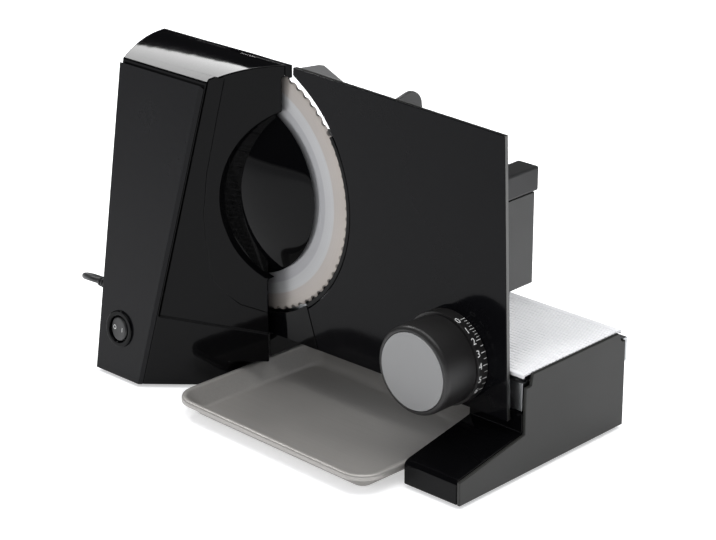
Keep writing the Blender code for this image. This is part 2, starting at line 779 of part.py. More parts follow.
def gear_housing():
    profile = dome_profile(DOME_RADIUS, DOME_CROWN, DOME_RIM, DOME_RISE_STEPS) + [(0, DOME_RIM)]
    housing = turned("gear_housing", profile, BLADE_CENTRE, steps=DOME_STEPS)
    for side, label in ((-1, "lower"), (1, "upper")):
        middle = BLADE_HEIGHT + side * ARM_RISE
        low = (TOWER_LEFT + SHELL_WALL + GAP, -ARM_FRONT, middle - ARM_HEIGHT / 2)
        joined(housing, box(f"{label}_arm", low, (ARM_RIGHT, -DOME_RIM, middle + ARM_HEIGHT / 2)))
    inner = DOME_RADIUS - DOME_WALL
    back = DOME_RIM - 0.002
    hollow = dome_profile(inner, DOME_CROWN - DOME_WALL, DOME_RIM, DOME_RISE_STEPS) + [(inner, back), (0, back)]
    cut(housing, turned("dome_hollow", hollow, BLADE_CENTRE, steps=DOME_STEPS))
    boss = rod("dome_boss", GEAR_SHAFT_RADIUS + GAP + BUSH_WALL + 0.0025, DOME_CROWN - 0.001,
               GEAR_FRONT + 0.0012, BLADE_CENTRE)
    joined(housing, boss)
    bore = GEAR_SHAFT_RADIUS + GAP + BUSH_WALL + GAP
    cut(housing, rod("boss_bore", bore, GEAR_SHAFT_FRONT + GAP, 0.0, BLADE_CENTRE))
    slot = box("worm_slot", (WORM_X - 0.0100, -0.030, BLADE_HEIGHT - 0.0130),
               (WORM_X + 0.0080, 0.001, BLADE_HEIGHT + 0.0130))
    cut(housing, slot)
    cut(housing, rod("shaft_bore", WORM_SHAFT_RADIUS + GAP, -0.010, -0.080, WORM_CENTRE, WORM_TURN))
    return finished(housing, GLOSS_BLACK)


def gear_bush():
    top = GEAR_SHAFT_FRONT - 0.0002
    inner = GEAR_SHAFT_RADIUS + GAP
    profile = tube_ring(inner + BUSH_WALL, inner, top, top - BUSH_LENGTH)
    return finished(turned("gear_bush", profile, BLADE_CENTRE, ring=True, steps=32), BRASS)


def drive_gear(axis):
    wheel = toothed((0, 0), GEAR_RADIUS - GEAR_TOOTH_DEPTH, GEAR_RADIUS, GEAR_TEETH)
    place = (0, -(GEAR_FRONT + GEAR_BACK) / 2, BLADE_HEIGHT)
    gear = outline("drive_gear", [wheel], GEAR_FRONT - GEAR_BACK, place, FRONTWARD)
    shaft = GEAR_SHAFT_RADIUS
    back = BLADE_HUB_FRONT + GAP
    profile = [(0, GEAR_SHAFT_FRONT - 0.0004), (shaft, GEAR_SHAFT_FRONT - 0.0004), (shaft, GEAR_BACK + 0.001)]
    profile += [(GEAR_HUB_RADIUS, GEAR_BACK + 0.001), (GEAR_HUB_RADIUS, back), (0, back)]
    joined(gear, turned("gear_hub", profile, BLADE_CENTRE, steps=32))
    cut(gear, rod("gear_thread", SCREW_SHANK_RADIUS - 0.0010 + GAP, 0.0110, 0.0, BLADE_CENTRE))
    return finished(gear, NYLON, axis)


def blade(axis):
    thick = BLADE_THICKNESS
    front = BLADE_HUB_FRONT
    edge = BLADE_EDGE_FRONT
    profile = [
        (BLADE_BORE, front),
        (BLADE_HUB_RADIUS, front),
        (BLADE_BEVEL_RADIUS, front - 0.0004),
        (BLADE_RADIUS, edge),
        (BLADE_RADIUS, edge - 0.0003),
        (BLADE_BEVEL_RADIUS, front - 0.0004 - thick),
        (BLADE_HUB_RADIUS, front - thick),
        (BLADE_BORE, front - thick),
    ]
    disc = turned("blade", profile, BLADE_CENTRE, ring=True, steps=BLADE_STEPS)
    outer = toothed((0, BLADE_HEIGHT), BLADE_RADIUS - TOOTH_DEPTH, BLADE_RADIUS + 0.0005, TOOTH_COUNT, share=0.3)
    keep = outline("tooth_outline", [outer], 0.010, (0, 0, 0), FRONTWARD)
    combined(disc, keep, "INTERSECT")
    return finished(disc, BLADE_STEEL, axis)


def blade_screw(axis):
    seat = BLADE_HUB_FRONT - BLADE_THICKNESS - GAP
    shank = SCREW_SHANK_RADIUS - 0.0010
    profile = [(0, 0.0105), (shank, 0.0105), (shank, seat), (SCREW_HEAD_RADIUS, seat)]
    profile += [(SCREW_HEAD_RADIUS - 0.0004, seat - SCREW_HEAD_HEIGHT), (0, seat - SCREW_HEAD_HEIGHT)]
    screw = turned("blade_screw", profile, BLADE_CENTRE, steps=32)
    back = seat - SCREW_HEAD_HEIGHT
    slot = box("coin_slot", (-0.0080, -back - 0.0005, BLADE_HEIGHT - 0.0009),
               (0.0080, 0.002, BLADE_HEIGHT + 0.0009))
    cut(screw, slot)
    return finished(screw, STEEL, axis)


def worm_shaft(axis):
    shaft = WORM_SHAFT_RADIUS
    half = WORM_LENGTH / 2
    profile = [(0, half), (WORM_RADIUS, half), (WORM_RADIUS, -half), (shaft, -half)]
    profile += [(shaft, -WORM_SHAFT_BELOW), (0, -WORM_SHAFT_BELOW)]
    return finished(turned("worm_shaft", profile, WORM_CENTRE, WORM_TURN, steps=24), STEEL, axis)


def motor_can():
    top = -WORM_SHAFT_BELOW - GAP
    profile = [(0, top), (0.0060, top), (0.0060, top - 0.0020), (MOTOR_RADIUS, top - 0.0020)]
    profile += [(MOTOR_RADIUS, top - MOTOR_LENGTH), (0, top - MOTOR_LENGTH)]
    return finished(turned("motor_can", profile, WORM_CENTRE, WORM_TURN, steps=32), STEEL)


def motor_bracket():
    """A plate across the motor's top, from the tower's left wall."""
    up = Vector((0, sin(TOWER_LEAN), cos(TOWER_LEAN)))
    place = WORM_CENTRE - up * (WORM_SHAFT_BELOW - 0.0020 - BRACKET_THICKNESS / 2)
    plate = box("motor_bracket", (TOWER_LEFT + SHELL_WALL + GAP - WORM_X, -MOTOR_RADIUS, -BRACKET_THICKNESS / 2),
                (MOTOR_RADIUS, 0.0115, BRACKET_THICKNESS / 2))
    plate.location = place
    plate.rotation_euler = WORM_TURN
    hole = rod("bracket_hole", WORM_SHAFT_RADIUS + RUN_GAP, 0.01, -0.01, place, WORM_TURN)
    cut(plate, hole)
    return finished(plate, STEEL)


blade_axis = pivot("blade_axis", BLADE_CENTRE)
worm_axis = pivot("worm_axis", WORM_CENTRE)
gear_housing()
gear_bush()
drive_gear(blade_axis)
blade(blade_axis)
blade_screw(blade_axis)
worm_shaft(worm_axis)
motor_can()
motor_bracket()


# Base, deck and rail


def hollow_block(name, ring, left, right, inner_ring):
    block = side_plate(name, ring, left, right)
    cut(block, side_plate(name + "_hollow", inner_ring, left + BLOCK_WALL, right - BLOCK_WALL))
    return block


def base_left_block():
    top = RAIL_BOTTOM - GAP
    ring = [(GAP, FOOT_HEIGHT), (GAP, top), (BASE_BACK, top), (BASE_BACK, FOOT_HEIGHT)]
    wall = BLOCK_WALL
    inner = [(GAP + wall, -0.01), (GAP + wall, top - wall), (BASE_BACK - wall, top - wall), (BASE_BACK - wall, -0.01)]
    return finished(hollow_block("base_left_block", ring, BASE_LEFT, TUNNEL_LEFT, inner), GLOSS_BLACK)


def toe_height(y):
    """The right foot's top, which climbs from its front edge to the deck's rail."""
    share = (y - BASE_FRONT) / (BASE_STEP_Y - BASE_FRONT)
    return TOE_HEIGHT + share * (TOE_REAR_HEIGHT - TOE_HEIGHT)


def base_right_foot():
    top = RAIL_BOTTOM - GAP
    ring = [(BASE_FRONT, FOOT_HEIGHT), (BASE_FRONT, TOE_HEIGHT - TOE_EDGE)]
    ring += [(BASE_FRONT + TOE_EDGE * (1 - cos(a)), TOE_HEIGHT - TOE_EDGE * (1 - sin(a))) for a in (0.5, 1.0)]
    ring += [(BASE_FRONT + TOE_EDGE, toe_height(BASE_FRONT + TOE_EDGE)), (BASE_STEP_Y, TOE_REAR_HEIGHT)]
    ring += [(BASE_STEP_Y, top), (BASE_BACK, top), (BASE_BACK, FOOT_HEIGHT)]
    wall = BLOCK_WALL
    inner = [(BASE_FRONT + wall, -0.01), (BASE_FRONT + wall, TOE_HEIGHT - wall - 0.001)]
    inner += [(BASE_STEP_Y + wall, TOE_REAR_HEIGHT - wall), (BASE_STEP_Y + wall, top - wall)]
    inner += [(BASE_BACK - wall, top - wall), (BASE_BACK - wall, -0.01)]
    return finished(hollow_block("base_right_foot", ring, TUNNEL_RIGHT, BASE_RIGHT, inner), GLOSS_BLACK)


def foot_side_panel():
    ring = [(BASE_FRONT, FOOT_HEIGHT), (BASE_FRONT, TOE_HEIGHT), (BASE_STEP_Y, TOE_REAR_HEIGHT)]
    ring += [(BASE_STEP_Y, SIDE_PANEL_STEP), (SIDE_PANEL_STEP_Y, SIDE_PANEL_STEP)]
    ring += [(SIDE_PANEL_STEP_Y + 0.0015, SIDE_PANEL_TOP), (SIDE_PANEL_REAR_STEP_Y, SIDE_PANEL_TOP)]
    ring += [(SIDE_PANEL_REAR_STEP_Y + 0.0030, SIDE_PANEL_REAR_HEIGHT), (SIDE_PANEL_REAR, SIDE_PANEL_REAR_HEIGHT)]
    ring += [(SIDE_PANEL_REAR, FOOT_HEIGHT)]
    return finished(side_plate("foot_side_panel", ring, BASE_RIGHT + GAP, SIDE_PANEL_RIGHT), DARK_GREY)


def folded(front, back, top, bottom, sheet):
    """The profile of a sheet folded down at its front and back edges."""
    return [
        (front, bottom),
        (front, top),
        (back, top),
        (back, bottom),
        (back - sheet, bottom),
        (back - sheet, top - sheet),
        (front + sheet, top - sheet),
        (front + sheet, bottom),
    ]


def spindle_holes(name, depth_front, depth_back):
    """Cutters for the spindle and the two guide rods where they pass a wall."""
    holes = [rod(f"{name}_spindle", SPINDLE_RADIUS + RUN_GAP, depth_front, depth_back,
                 (KNOB_X, 0, KNOB_HEIGHT - PINION_SPACING))]
    for number, x in enumerate(ROD_PLACES):
        place = (x, 0, ROD_HEIGHT)
        holes.append(rod(f"{name}_rod_{number}", ROD_RADIUS + RUN_GAP, depth_front, depth_back, place))
    return holes


def deck_rail():
    ring = folded(RAIL_FRONT, RAIL_BACK, RAIL_TOP, RAIL_BOTTOM, RAIL_WALL)
    rail = side_plate("deck_rail", ring, BASE_LEFT, RAIL_RIGHT)
    cut(rail, *spindle_holes("rail", 0.0, -0.012))
    return finished(rail, ALUMINIUM)


def deck_plate():
    ring = folded(BASE_STEP_Y, DECK_BACK, DECK_TOP, DECK_TOP - DECK_FOLD, DECK_SHEET)
    return finished(side_plate("deck_plate", ring, BASE_LEFT, BASE_RIGHT), STEEL)


def deck_spacer(number, x):
    low = (x - SPACER_WIDTH / 2, RAIL_FRONT + 0.0060, RAIL_TOP + GAP)
    high = (x + SPACER_WIDTH / 2, RAIL_BACK - 0.0060, DECK_TOP - DECK_SHEET - GAP)
    return finished(box(f"deck_spacer_{number}", low, high), SATIN_BLACK)


def slide_block():
    """Holds the spindle's nut thread and the guide rods' bores, inside the rail."""
    low = (SLIDE_BLOCK_LEFT, RAIL_FRONT + RAIL_WALL + GAP, RAIL_BOTTOM + 0.0010)
    high = (RAIL_RIGHT - 0.0010, SLIDE_BLOCK_BACK, RAIL_TOP - RAIL_WALL - GAP)
    block = box("slide_block", low, high)
    cut(block, *spindle_holes("block", 0.0, -0.040))
    return finished(block, ALUMINIUM)


def rubber_foot(number, x, y):
    profile = [(0, FOOT_HEIGHT - GAP), (FOOT_RADIUS, FOOT_HEIGHT - GAP), (FOOT_RADIUS - 0.0005, 0), (0, 0)]
    foot = turned(f"rubber_foot_{number}", profile, (x, y, 0), (0, 0, 0), steps=24)
    return finished(foot, RUBBER)


FOOT_INSET = FOOT_RADIUS + 0.0005
TOE_FOOT_INSET = FOOT_INSET + 0.0050
TOE_CORNER_INSET = FOOT_INSET + 0.0012
FOOT_PLACES = (
    (TOWER_LEFT + 0.0100, TOWER_FRONT + 0.0115),
    (-0.0350, -0.0500),
    (BASE_LEFT + FOOT_INSET, BASE_BACK - FOOT_INSET),
    (TUNNEL_LEFT - FOOT_INSET, BASE_BACK - FOOT_INSET),
    (TUNNEL_RIGHT + FOOT_INSET, BASE_FRONT + TOE_FOOT_INSET),
    (BASE_RIGHT - TOE_CORNER_INSET, BASE_FRONT + TOE_FOOT_INSET),
    (BASE_RIGHT - FOOT_INSET, BASE_BACK - FOOT_INSET),
)

base_left_block()
base_right_foot()
foot_side_panel()
deck_rail()
deck_plate()
for spacer_number, spacer_x in enumerate(SPACER_PLACES):
    deck_spacer(spacer_number + 1, spacer_x)
slide_block()


# Gauge plate and setting knob

gauge_slide = pivot("gauge_slide", (KNOB_X, 0, KNOB_HEIGHT))
knob_axis = pivot("knob_axis", (KNOB_X, 0, KNOB_HEIGHT), gauge_slide)
spindle_axis = pivot("spindle_axis", (KNOB_X, 0, KNOB_HEIGHT - PINION_SPACING), gauge_slide)
KNOB_CENTRE = (KNOB_X, 0, KNOB_HEIGHT)
SPINDLE_CENTRE = (KNOB_X, 0, KNOB_HEIGHT - PINION_SPACING)


def gauge_plate():
    centre = (0, BLADE_HEIGHT)
    radius = GAUGE_CUT_RADIUS
    guard_radius = BLADE_RADIUS + BLADE_RUN_GAP
    seam_top = Vector((guard_radius * cos(SEAM_TOP_ANGLE), BLADE_HEIGHT + guard_radius * sin(SEAM_TOP_ANGLE)))
    seam_bottom = Vector((SEAM_BOTTOM_X, GAUGE_BOTTOM_LEFT_HEIGHT))
    along = (seam_bottom - seam_top).normalized()
    aside = Vector((-along.y, along.x)) * SEAM_GAP
    start = seam_top + aside
    reach = start - Vector(centre)
    outward = reach.dot(along)
    meet = start + along * (sqrt(outward**2 - reach.dot(reach) + radius**2) - outward)
    low_angle = atan2(meet.y - BLADE_HEIGHT, meet.x)
    left, top = GAUGE_TOP_LEFT
    ring = [GAUGE_TOP_LEFT, GAUGE_TOP_RIGHT, GAUGE_BOTTOM_RIGHT, tuple(seam_bottom + aside)]
    for u, v in arc((0, 0), radius, low_angle, GAUGE_CUT_TOP_ANGLE, 33):
        beyond = (atan2(v, u) - GAUGE_FLARE_ANGLE) / (GAUGE_CUT_TOP_ANGLE - GAUGE_FLARE_ANGLE)
        wider = 1 + GAUGE_CUT_FLARE * max(0.0, beyond) / radius
        ring.append((u * wider, BLADE_HEIGHT + v * wider))
    ring.append((left - 0.0004, top - GAUGE_NOSE_DROP))
    plate = front_plate("gauge_plate", ring, GAUGE_FRONT, GAUGE_BACK)
    cut(plate, rod("plate_knob_hole", KNOB_SHAFT_RADIUS + RUN_GAP, 0.01, -0.01, KNOB_CENTRE))
    cut(plate, rod("plate_spindle_hole", SPINDLE_RADIUS + RUN_GAP, 0.01, -0.01, SPINDLE_CENTRE))
    return finished(plate, CHARCOAL, gauge_slide)


def finger_guard():
    """The small triangle that points back from the plate's top edge beside the blade."""
    left, top = GAUGE_TOP_LEFT
    front = -GAUGE_BACK + GAP
    drop = (GAUGE_TOP_LEFT[1] - GAUGE_TOP_RIGHT[1]) / (GAUGE_TOP_RIGHT[0] - left)
    length = FINGER_GUARD_LENGTH
    thickness = FINGER_GUARD_THICKNESS
    ring = [(left, front), (left + length, front), (left + 0.0085, FINGER_GUARD_DEPTH)]
    ring.append((left + 0.0050, FINGER_GUARD_DEPTH - 0.0012))
    level = top - drop * length - thickness / 2
    return finished(outline("finger_guard", [ring], thickness, (0, 0, level), (0, 0, 0)), CHARCOAL, gauge_slide)


def guide_rod(number, x):
    front = GAUGE_BACK - GAP
    rod_piece = rod(f"guide_rod_{number}", ROD_RADIUS, front, front - ROD_LENGTH, (x, 0, ROD_HEIGHT))
    return finished(rod_piece, STEEL, gauge_slide)


def knob_grip():
    front = KNOB_FRONT
    edge = KNOB_EDGE
    recess = DISC_RADIUS + GAP
    profile = [(0, front - KNOB_RECESS), (recess, front - KNOB_RECESS), (recess, front - 0.0002), (recess + 0.0002, front)]
    profile += [(KNOB_RADIUS - edge * (1 - sin(a)), front - edge * (1 - cos(a))) for a in (0.0, 0.5, 1.0, pi / 2)]
    profile += [(KNOB_RADIUS, KNOB_BACK), (0, KNOB_BACK)]
    return finished(turned("knob_grip", profile, KNOB_CENTRE, steps=KNOB_STEPS), SATIN_BLACK, knob_axis)


def knob_disc():
    top = KNOB_FRONT + DISC_PROUD
    bottom = KNOB_FRONT - KNOB_RECESS + GAP
    profile = [(0, top), (DISC_RADIUS - 0.0004, top), (DISC_RADIUS, top - 0.0004), (DISC_RADIUS, bottom), (0, bottom)]
    return finished(turned("knob_disc", profile, KNOB_CENTRE, steps=KNOB_STEPS), SILVER_GREY, knob_axis)


def dial_ring():
    top = KNOB_BACK - GAP
    profile = tube_ring(DIAL_RADIUS, DIAL_RADIUS - DIAL_WALL, top, DIAL_BACK)
    return finished(turned("dial_ring", profile, KNOB_CENTRE, ring=True, steps=KNOB_STEPS), SATIN_BLACK, knob_axis)


def knob_shaft():
    top = KNOB_BACK - GAP
    shaft = KNOB_SHAFT_RADIUS
    end = GAUGE_BACK - GAP - CLIP_THICKNESS
    profile = [(0, top), (KNOB_FLANGE_RADIUS, top), (KNOB_FLANGE_RADIUS, top - KNOB_FLANGE)]
    profile += [(shaft, top - KNOB_FLANGE), (shaft, end), (0, end)]
    return finished(turned("knob_shaft", profile, KNOB_CENTRE, steps=32), STEEL, knob_axis)


def knob_clip():
    top = GAUGE_BACK - GAP
    profile = tube_ring(CLIP_RADIUS, KNOB_SHAFT_RADIUS + GAP, top, top - CLIP_THICKNESS)
    return finished(turned("knob_clip", profile, KNOB_CENTRE, ring=True, steps=32), STEEL, knob_axis)


def knob_pinion():
    hole = arc((0, 0), KNOB_SHAFT_RADIUS + GAP, 0, 2 * pi * 23 / 24, 24)
    wheel = toothed((0, 0), PINION_ROOT, PINION_TIP, PINION_TEETH, -pi / 2)
    place = (KNOB_X, -(PINION_FRONT + PINION_BACK) / 2, KNOB_HEIGHT)
    pinion = outline("knob_pinion", [wheel, hole], PINION_FRONT - PINION_BACK, place, FRONTWARD)
    return finished(pinion, NYLON, knob_axis)


def spindle():
    """Turned by the knob's pinion; its steep thread draws the plate in and out of the nut."""
    wheel = toothed((0, 0), PINION_ROOT, PINION_TIP, PINION_TEETH, pi / 2 + pi / PINION_TEETH)
    place = (KNOB_X, -(PINION_FRONT + PINION_BACK) / 2, KNOB_HEIGHT - PINION_SPACING)
    piece = outline("spindle", [wheel], PINION_FRONT - PINION_BACK, place, FRONTWARD)
    joined(piece, rod("spindle_rod", SPINDLE_RADIUS, PINION_BACK + 0.001, -SPINDLE_END, SPINDLE_CENTRE, steps=20))
    return finished(piece, STEEL, spindle_axis)


gauge_plate()
finger_guard()
for rod_number, rod_x in enumerate(ROD_PLACES):
    guide_rod(rod_number + 1, rod_x)
knob_grip()
knob_disc()
dial_ring()
knob_shaft()
knob_clip()
knob_pinion()
spindle()


# Hand guard carriage and food pusher

carriage_slide = pivot("carriage_slide", (WALL_LEFT_X, GUIDE_BACK, RUNNER_TOP))
pusher_slide = pivot("pusher_slide", (PUSHER_RIGHT, PUSHER_Y, PUSHER_RAIL_HEIGHT), carriage_slide)
RAIL_SEAT = RAIL_BACK + GAP


def carriage_guide():
    tongue = GUIDE_BACK - GUIDE_TONGUE
    flange = GUIDE_BOTTOM + GUIDE_FLANGE_HEIGHT
    ring = [(RAIL_SEAT, GUIDE_BOTTOM), (RAIL_SEAT, flange), (tongue, flange), (tongue, GUIDE_TOP)]
    ring += [(GUIDE_BACK, GUIDE_TOP), (GUIDE_BACK, GUIDE_BOTTOM)]
    return finished(side_plate("carriage_guide", ring, BASE_LEFT, BASE_RIGHT), ALUMINIUM)


def carriage_runner():
    """A channel over the guide's tongue, with a shelf that the guard's walls stand on."""
    near = DECK_BACK + 0.0006
    inner_near = GUIDE_BACK - GUIDE_TONGUE - RUN_GAP
    inner_far = GUIDE_BACK + RUN_GAP
    bottom = GUIDE_BOTTOM + GUIDE_FLANGE_HEIGHT + 0.0010
    roof = GUIDE_TOP + RUN_GAP
    far = inner_far + RUNNER_WALL
    shelf = RUNNER_TOP - RUNNER_WALL
    ring = [(near, bottom), (near, RUNNER_TOP), (WALL_FAR_Y, RUNNER_TOP), (WALL_FAR_Y, shelf), (far, shelf)]
    ring += [(far, bottom), (inner_far, bottom), (inner_far, roof), (inner_near, roof), (inner_near, bottom)]
    return finished(side_plate("carriage_runner", ring, WALL_LEFT_X, RUNNER_RIGHT), DARK_GREY, carriage_slide)


WALL_BOTTOM = DECK_TOP + WALL_LIFT


def carriage_left_wall():
    corner = WALL_CORNER
    centre = (WALL_FAR_Y - corner, WALL_LEFT_TOP - corner)
    ring = [(WALL_NEAR_Y, WALL_BOTTOM), (WALL_NEAR_Y, WALL_LEFT_NEAR_TOP)]
    ring += arc(centre, corner, pi / 2 + 0.2, 0, 7)
    ring.append((WALL_FAR_Y, WALL_BOTTOM))
    wall = side_plate("carriage_left_wall", ring, WALL_LEFT_X, WALL_LEFT_X + GUARD_WALL)
    return finished(wall, DARK_GREY, carriage_slide)


def carriage_right_wall():
    ring = [(WALL_NEAR_Y, WALL_BOTTOM), (WALL_NEAR_Y, WALL_RIGHT_TOP), (WALL_FAR_Y, WALL_RIGHT_TOP)]
    ring.append((WALL_FAR_Y, WALL_BOTTOM))
    wall = side_plate("carriage_right_wall", ring, WALL_RIGHT_X - GUARD_WALL, WALL_RIGHT_X)
    return finished(wall, DARK_GREY, carriage_slide)


def carriage_back_wall():
    low = (WALL_LEFT_X + GUARD_WALL + GAP, WALL_FAR_Y - GUARD_WALL, WALL_BOTTOM)
    high = (WALL_RIGHT_X - GUARD_WALL - GAP, WALL_FAR_Y, WALL_RIGHT_TOP)
    return finished(box("carriage_back_wall", low, high), DARK_GREY, carriage_slide)


def carriage_grip():
    """The cap that the hand pushes, on top of the right wall."""
    low = (WALL_RIGHT_X - GRIP_WIDTH, GRIP_NEAR_Y, WALL_RIGHT_TOP + GAP)
    grip = box("carriage_grip", low, (WALL_RIGHT_X + 0.0005, GRIP_FAR_Y, GRIP_TOP))
    bevelled(grip, 0.0015)
    return finished(grip, SATIN_BLACK, carriage_slide)


def pusher_rail():
    middle = PUSHER_RAIL_HEIGHT
    half = PUSHER_RAIL_SIZE / 2
    low = (WALL_LEFT_X - GAP - PUSHER_RAIL_DEPTH, WALL_NEAR_Y + 0.0040, middle - half)
    return finished(box("pusher_rail", low, (WALL_LEFT_X - GAP, WALL_FAR_Y - 0.0040, middle + half)), STEEL, carriage_slide)


def food_pusher():
    """A plate with short spikes, on a collar that slides along the rail."""
    plate = box("food_pusher", (PUSHER_LEFT, PUSHER_Y, PUSHER_BOTTOM),
                (PUSHER_RIGHT, PUSHER_Y + PUSHER_THICKNESS, PUSHER_TOP))
    half = PUSHER_RAIL_SIZE / 2 + RUN_GAP
    collar = PUSHER_COLLAR
    rail_left = WALL_LEFT_X - GAP - PUSHER_RAIL_DEPTH
    low = (rail_left - RUN_GAP - collar, PUSHER_Y, PUSHER_RAIL_HEIGHT - half - collar)
    high = (WALL_LEFT_X - 2 * GAP, PUSHER_Y + PUSHER_COLLAR_LENGTH, PUSHER_RAIL_HEIGHT + half + collar)
    joined(plate, box("pusher_collar", low, high))
    hole_low = (rail_left - RUN_GAP, PUSHER_Y - 0.01, PUSHER_RAIL_HEIGHT - half)
    hole_high = (WALL_LEFT_X + 0.01, PUSHER_Y + PUSHER_COLLAR_LENGTH + 0.01, PUSHER_RAIL_HEIGHT + half)
    cut(plate, box("collar_hole", hole_low, hole_high))
    for column in range(4):
        for row in range(3):
            x = PUSHER_LEFT + 0.0130 + column * 0.0180
            z = PUSHER_BOTTOM + 0.0150 + row * 0.0220
            profile = [(0, SPIKE_LENGTH), (SPIKE_RADIUS, -0.0010), (0, -0.0010)]
            joined(plate, turned(f"spike_{column}_{row}", profile, (x, PUSHER_Y, z), steps=8))
    return finished(plate, SATIN_BLACK, pusher_slide)


carriage_guide()
carriage_runner()
carriage_left_wall()
carriage_right_wall()
carriage_back_wall()
carriage_grip()
pusher_rail()
food_pusher()


# Slice tray


def rounded_rectangle(width, depth, corner, count=7):
    points = []
    for quarter, (sx, sy) in enumerate(((1, 1), (-1, 1), (-1, -1), (1, -1))):
        centre = (sx * (width / 2 - corner), sy * (depth / 2 - corner))
        points += arc(centre, corner, quarter * pi / 2, (quarter + 1) * pi / 2, count)
    return points


def slice_tray():
    """Pressed from sheet: a flat bottom, sloping sides and a rolled rim."""
    slide = pivot("tray_slide", (TRAY_X, TRAY_Y, 0))
    half = TRAY_SHEET / 2
    rim = TRAY_RIM
    sections = [
        (TRAY_WALL_INSET + TRAY_BOTTOM_FOLD, GAP + half),
        (TRAY_WALL_INSET, GAP + half + TRAY_BOTTOM_FOLD),
        (rim, TRAY_HEIGHT - half - 0.0012),
        (rim * 0.7, TRAY_HEIGHT - half - 0.0002),
        (rim * 0.35, TRAY_HEIGHT - half - 0.0002),
        (half, TRAY_HEIGHT - half - 0.0012),
        (half, TRAY_HEIGHT - half - TRAY_RIM_DROP),
    ]
    bm = bmesh.new()
    rings = []
    for inset, height in sections:
        ring = rounded_rectangle(TRAY_WIDTH - 2 * inset, TRAY_DEPTH - 2 * inset, TRAY_CORNER - inset)
        rings.append([bm.verts.new((x, y, height)) for x, y in ring])
    bm.faces.new(rings[0])
    for inner, outer in zip(rings, rings[1:]):
        for i in range(len(inner)):
            after = (i + 1) % len(inner)
            bm.faces.new((inner[i], inner[after], outer[after], outer[i]))
    bmesh.ops.recalc_face_normals(bm, faces=bm.faces)
    mesh = bpy.data.meshes.new("slice_tray")
    bm.to_mesh(mesh)
    bm.free()
    tray = linked("slice_tray", mesh, (TRAY_X, TRAY_Y, 0), (0, 0, TRAY_TURN))
    sheet = tray.modifiers.new("sheet", "SOLIDIFY")
    sheet.thickness = TRAY_SHEET
    sheet.offset = 0
    return finished(tray, STEEL, slide)


slice_tray()
for foot_number, (foot_x, foot_y) in enumerate(FOOT_PLACES):
    rubber_foot(foot_number + 1, foot_x, foot_y)


# Power cord

CORD_RADIUS = CORD_DIAMETER / 2
COIL_OUTER = COIL_INNER + COIL_PITCH * COIL_TURNS / 2
COIL_START = Vector((COIL_X - COIL_OUTER, COIL_Y, CORD_LIE))
CORD_EXIT = Vector((TOWER_LEFT - GAP - RELIEF_LENGTH - GAP, RELIEF_Y, RELIEF_HEIGHT))
CORD_ROUTE = [
    (CORD_EXIT.x, CORD_EXIT.y, CORD_EXIT.z),
    (-0.1120, -0.0450, 0.0496),
    (-0.1240, -0.0400, 0.0465),
    (-0.1310, -0.0270, 0.0400),
    (-0.1320, -0.0080, 0.0290),
    (-0.1290, 0.0150, 0.0160),
    (-0.1240, 0.0380, 0.0075),
    (-0.1170, 0.0580, 0.0035),
    (-0.1070, 0.0800, CORD_LIE),
    (-0.0930, 0.1060, CORD_LIE),
    (-0.0815, 0.1270, CORD_LIE),
    (COIL_START.x, 0.1390, CORD_LIE),
    (COIL_START.x, COIL_START.y - CORD_DIAMETER - GAP, CORD_LIE),
]


def smooth_route(points, spacing):
    """Reads points at an even spacing from a smooth curve through the route's own points."""
    knots = [Vector(p) for p in points]
    knots = [2 * knots[0] - knots[1]] + knots + [2 * knots[-1] - knots[-2]]
    fine = []
    for i in range(1, len(knots) - 2):
        a, b, c, d = knots[i - 1 : i + 3]
        for j in range(20):
            t = j / 20
            fine.append(0.5 * (2 * b + (c - a) * t + (2 * a - 5 * b + 4 * c - d) * t**2
                               + (3 * b - a - 3 * c + d) * t**3))
    fine.append(knots[-2])
    lengths = [0.0]
    for a, b in zip(fine, fine[1:]):
        lengths.append(lengths[-1] + (b - a).length)
    count = max(2, round(lengths[-1] / spacing))
    read = []
    index = 0
    for k in range(count + 1):
        target = lengths[-1] * k / count
        while index < len(lengths) - 2 and lengths[index + 1] < target:
            index += 1
        share = (target - lengths[index]) / (lengths[index + 1] - lengths[index])
        read.append(fine[index].lerp(fine[index + 1], share))
    return read


def tube(name, points, radius, resolution):
    curve = bpy.data.curves.new(name, "CURVE")
    curve.dimensions = "3D"
    curve.bevel_depth = radius
    curve.bevel_resolution = resolution
    curve.use_fill_caps = True
    spline = curve.splines.new("POLY")
    spline.points.add(len(points) - 1)
    for point, place in zip(spline.points, points):
        point.co = (*place, 1)
    piece = bpy.data.objects.new(name, curve)
    parts.objects.link(piece)
    return as_mesh(piece)


def strain_relief():
    length = RELIEF_LENGTH
    base = RELIEF_BASE_RADIUS
    tip = RELIEF_TIP_RADIUS
    profile = [(0, length), (tip, length), (base - 0.0006, 0.0030), (base, 0.0024), (base, 0), (0, 0)]
    place = (TOWER_LEFT - GAP, RELIEF_Y, RELIEF_HEIGHT)
    return finished(turned("strain_relief", profile, place, (0, -pi / 2, 0), steps=24), RUBBER)


def cord_tube():
    return finished(tube("cord_tube", smooth_route(CORD_ROUTE, CORD_STEP), CORD_RADIUS, 2), RUBBER)


def coil_points():
    """The cord spirals in on the lower layer, climbs, and spirals out again on the upper one."""
    points = [COIL_START - Vector((0, CORD_DIAMETER, 0))]
    total = COIL_TURNS * COIL_POINTS
    for i in range(total + 1):
        turns = i / COIL_POINTS
        from_middle = turns - COIL_TURNS / 2
        radius = COIL_INNER + COIL_PITCH * sqrt(from_middle**2 + 0.01)
        climb = min(1.0, max(0.0, (from_middle + 0.25) / 0.5))
        climb = climb * climb * (3 - 2 * climb)
        angle = pi - 2 * pi * turns
        point = Vector((COIL_X + radius * cos(angle), COIL_Y + radius * sin(angle), CORD_LIE + COIL_LAYER * climb))
        points.append(point)
    points.append(points[-1] + Vector((0, COIL_TAIL, 0)))
    return points


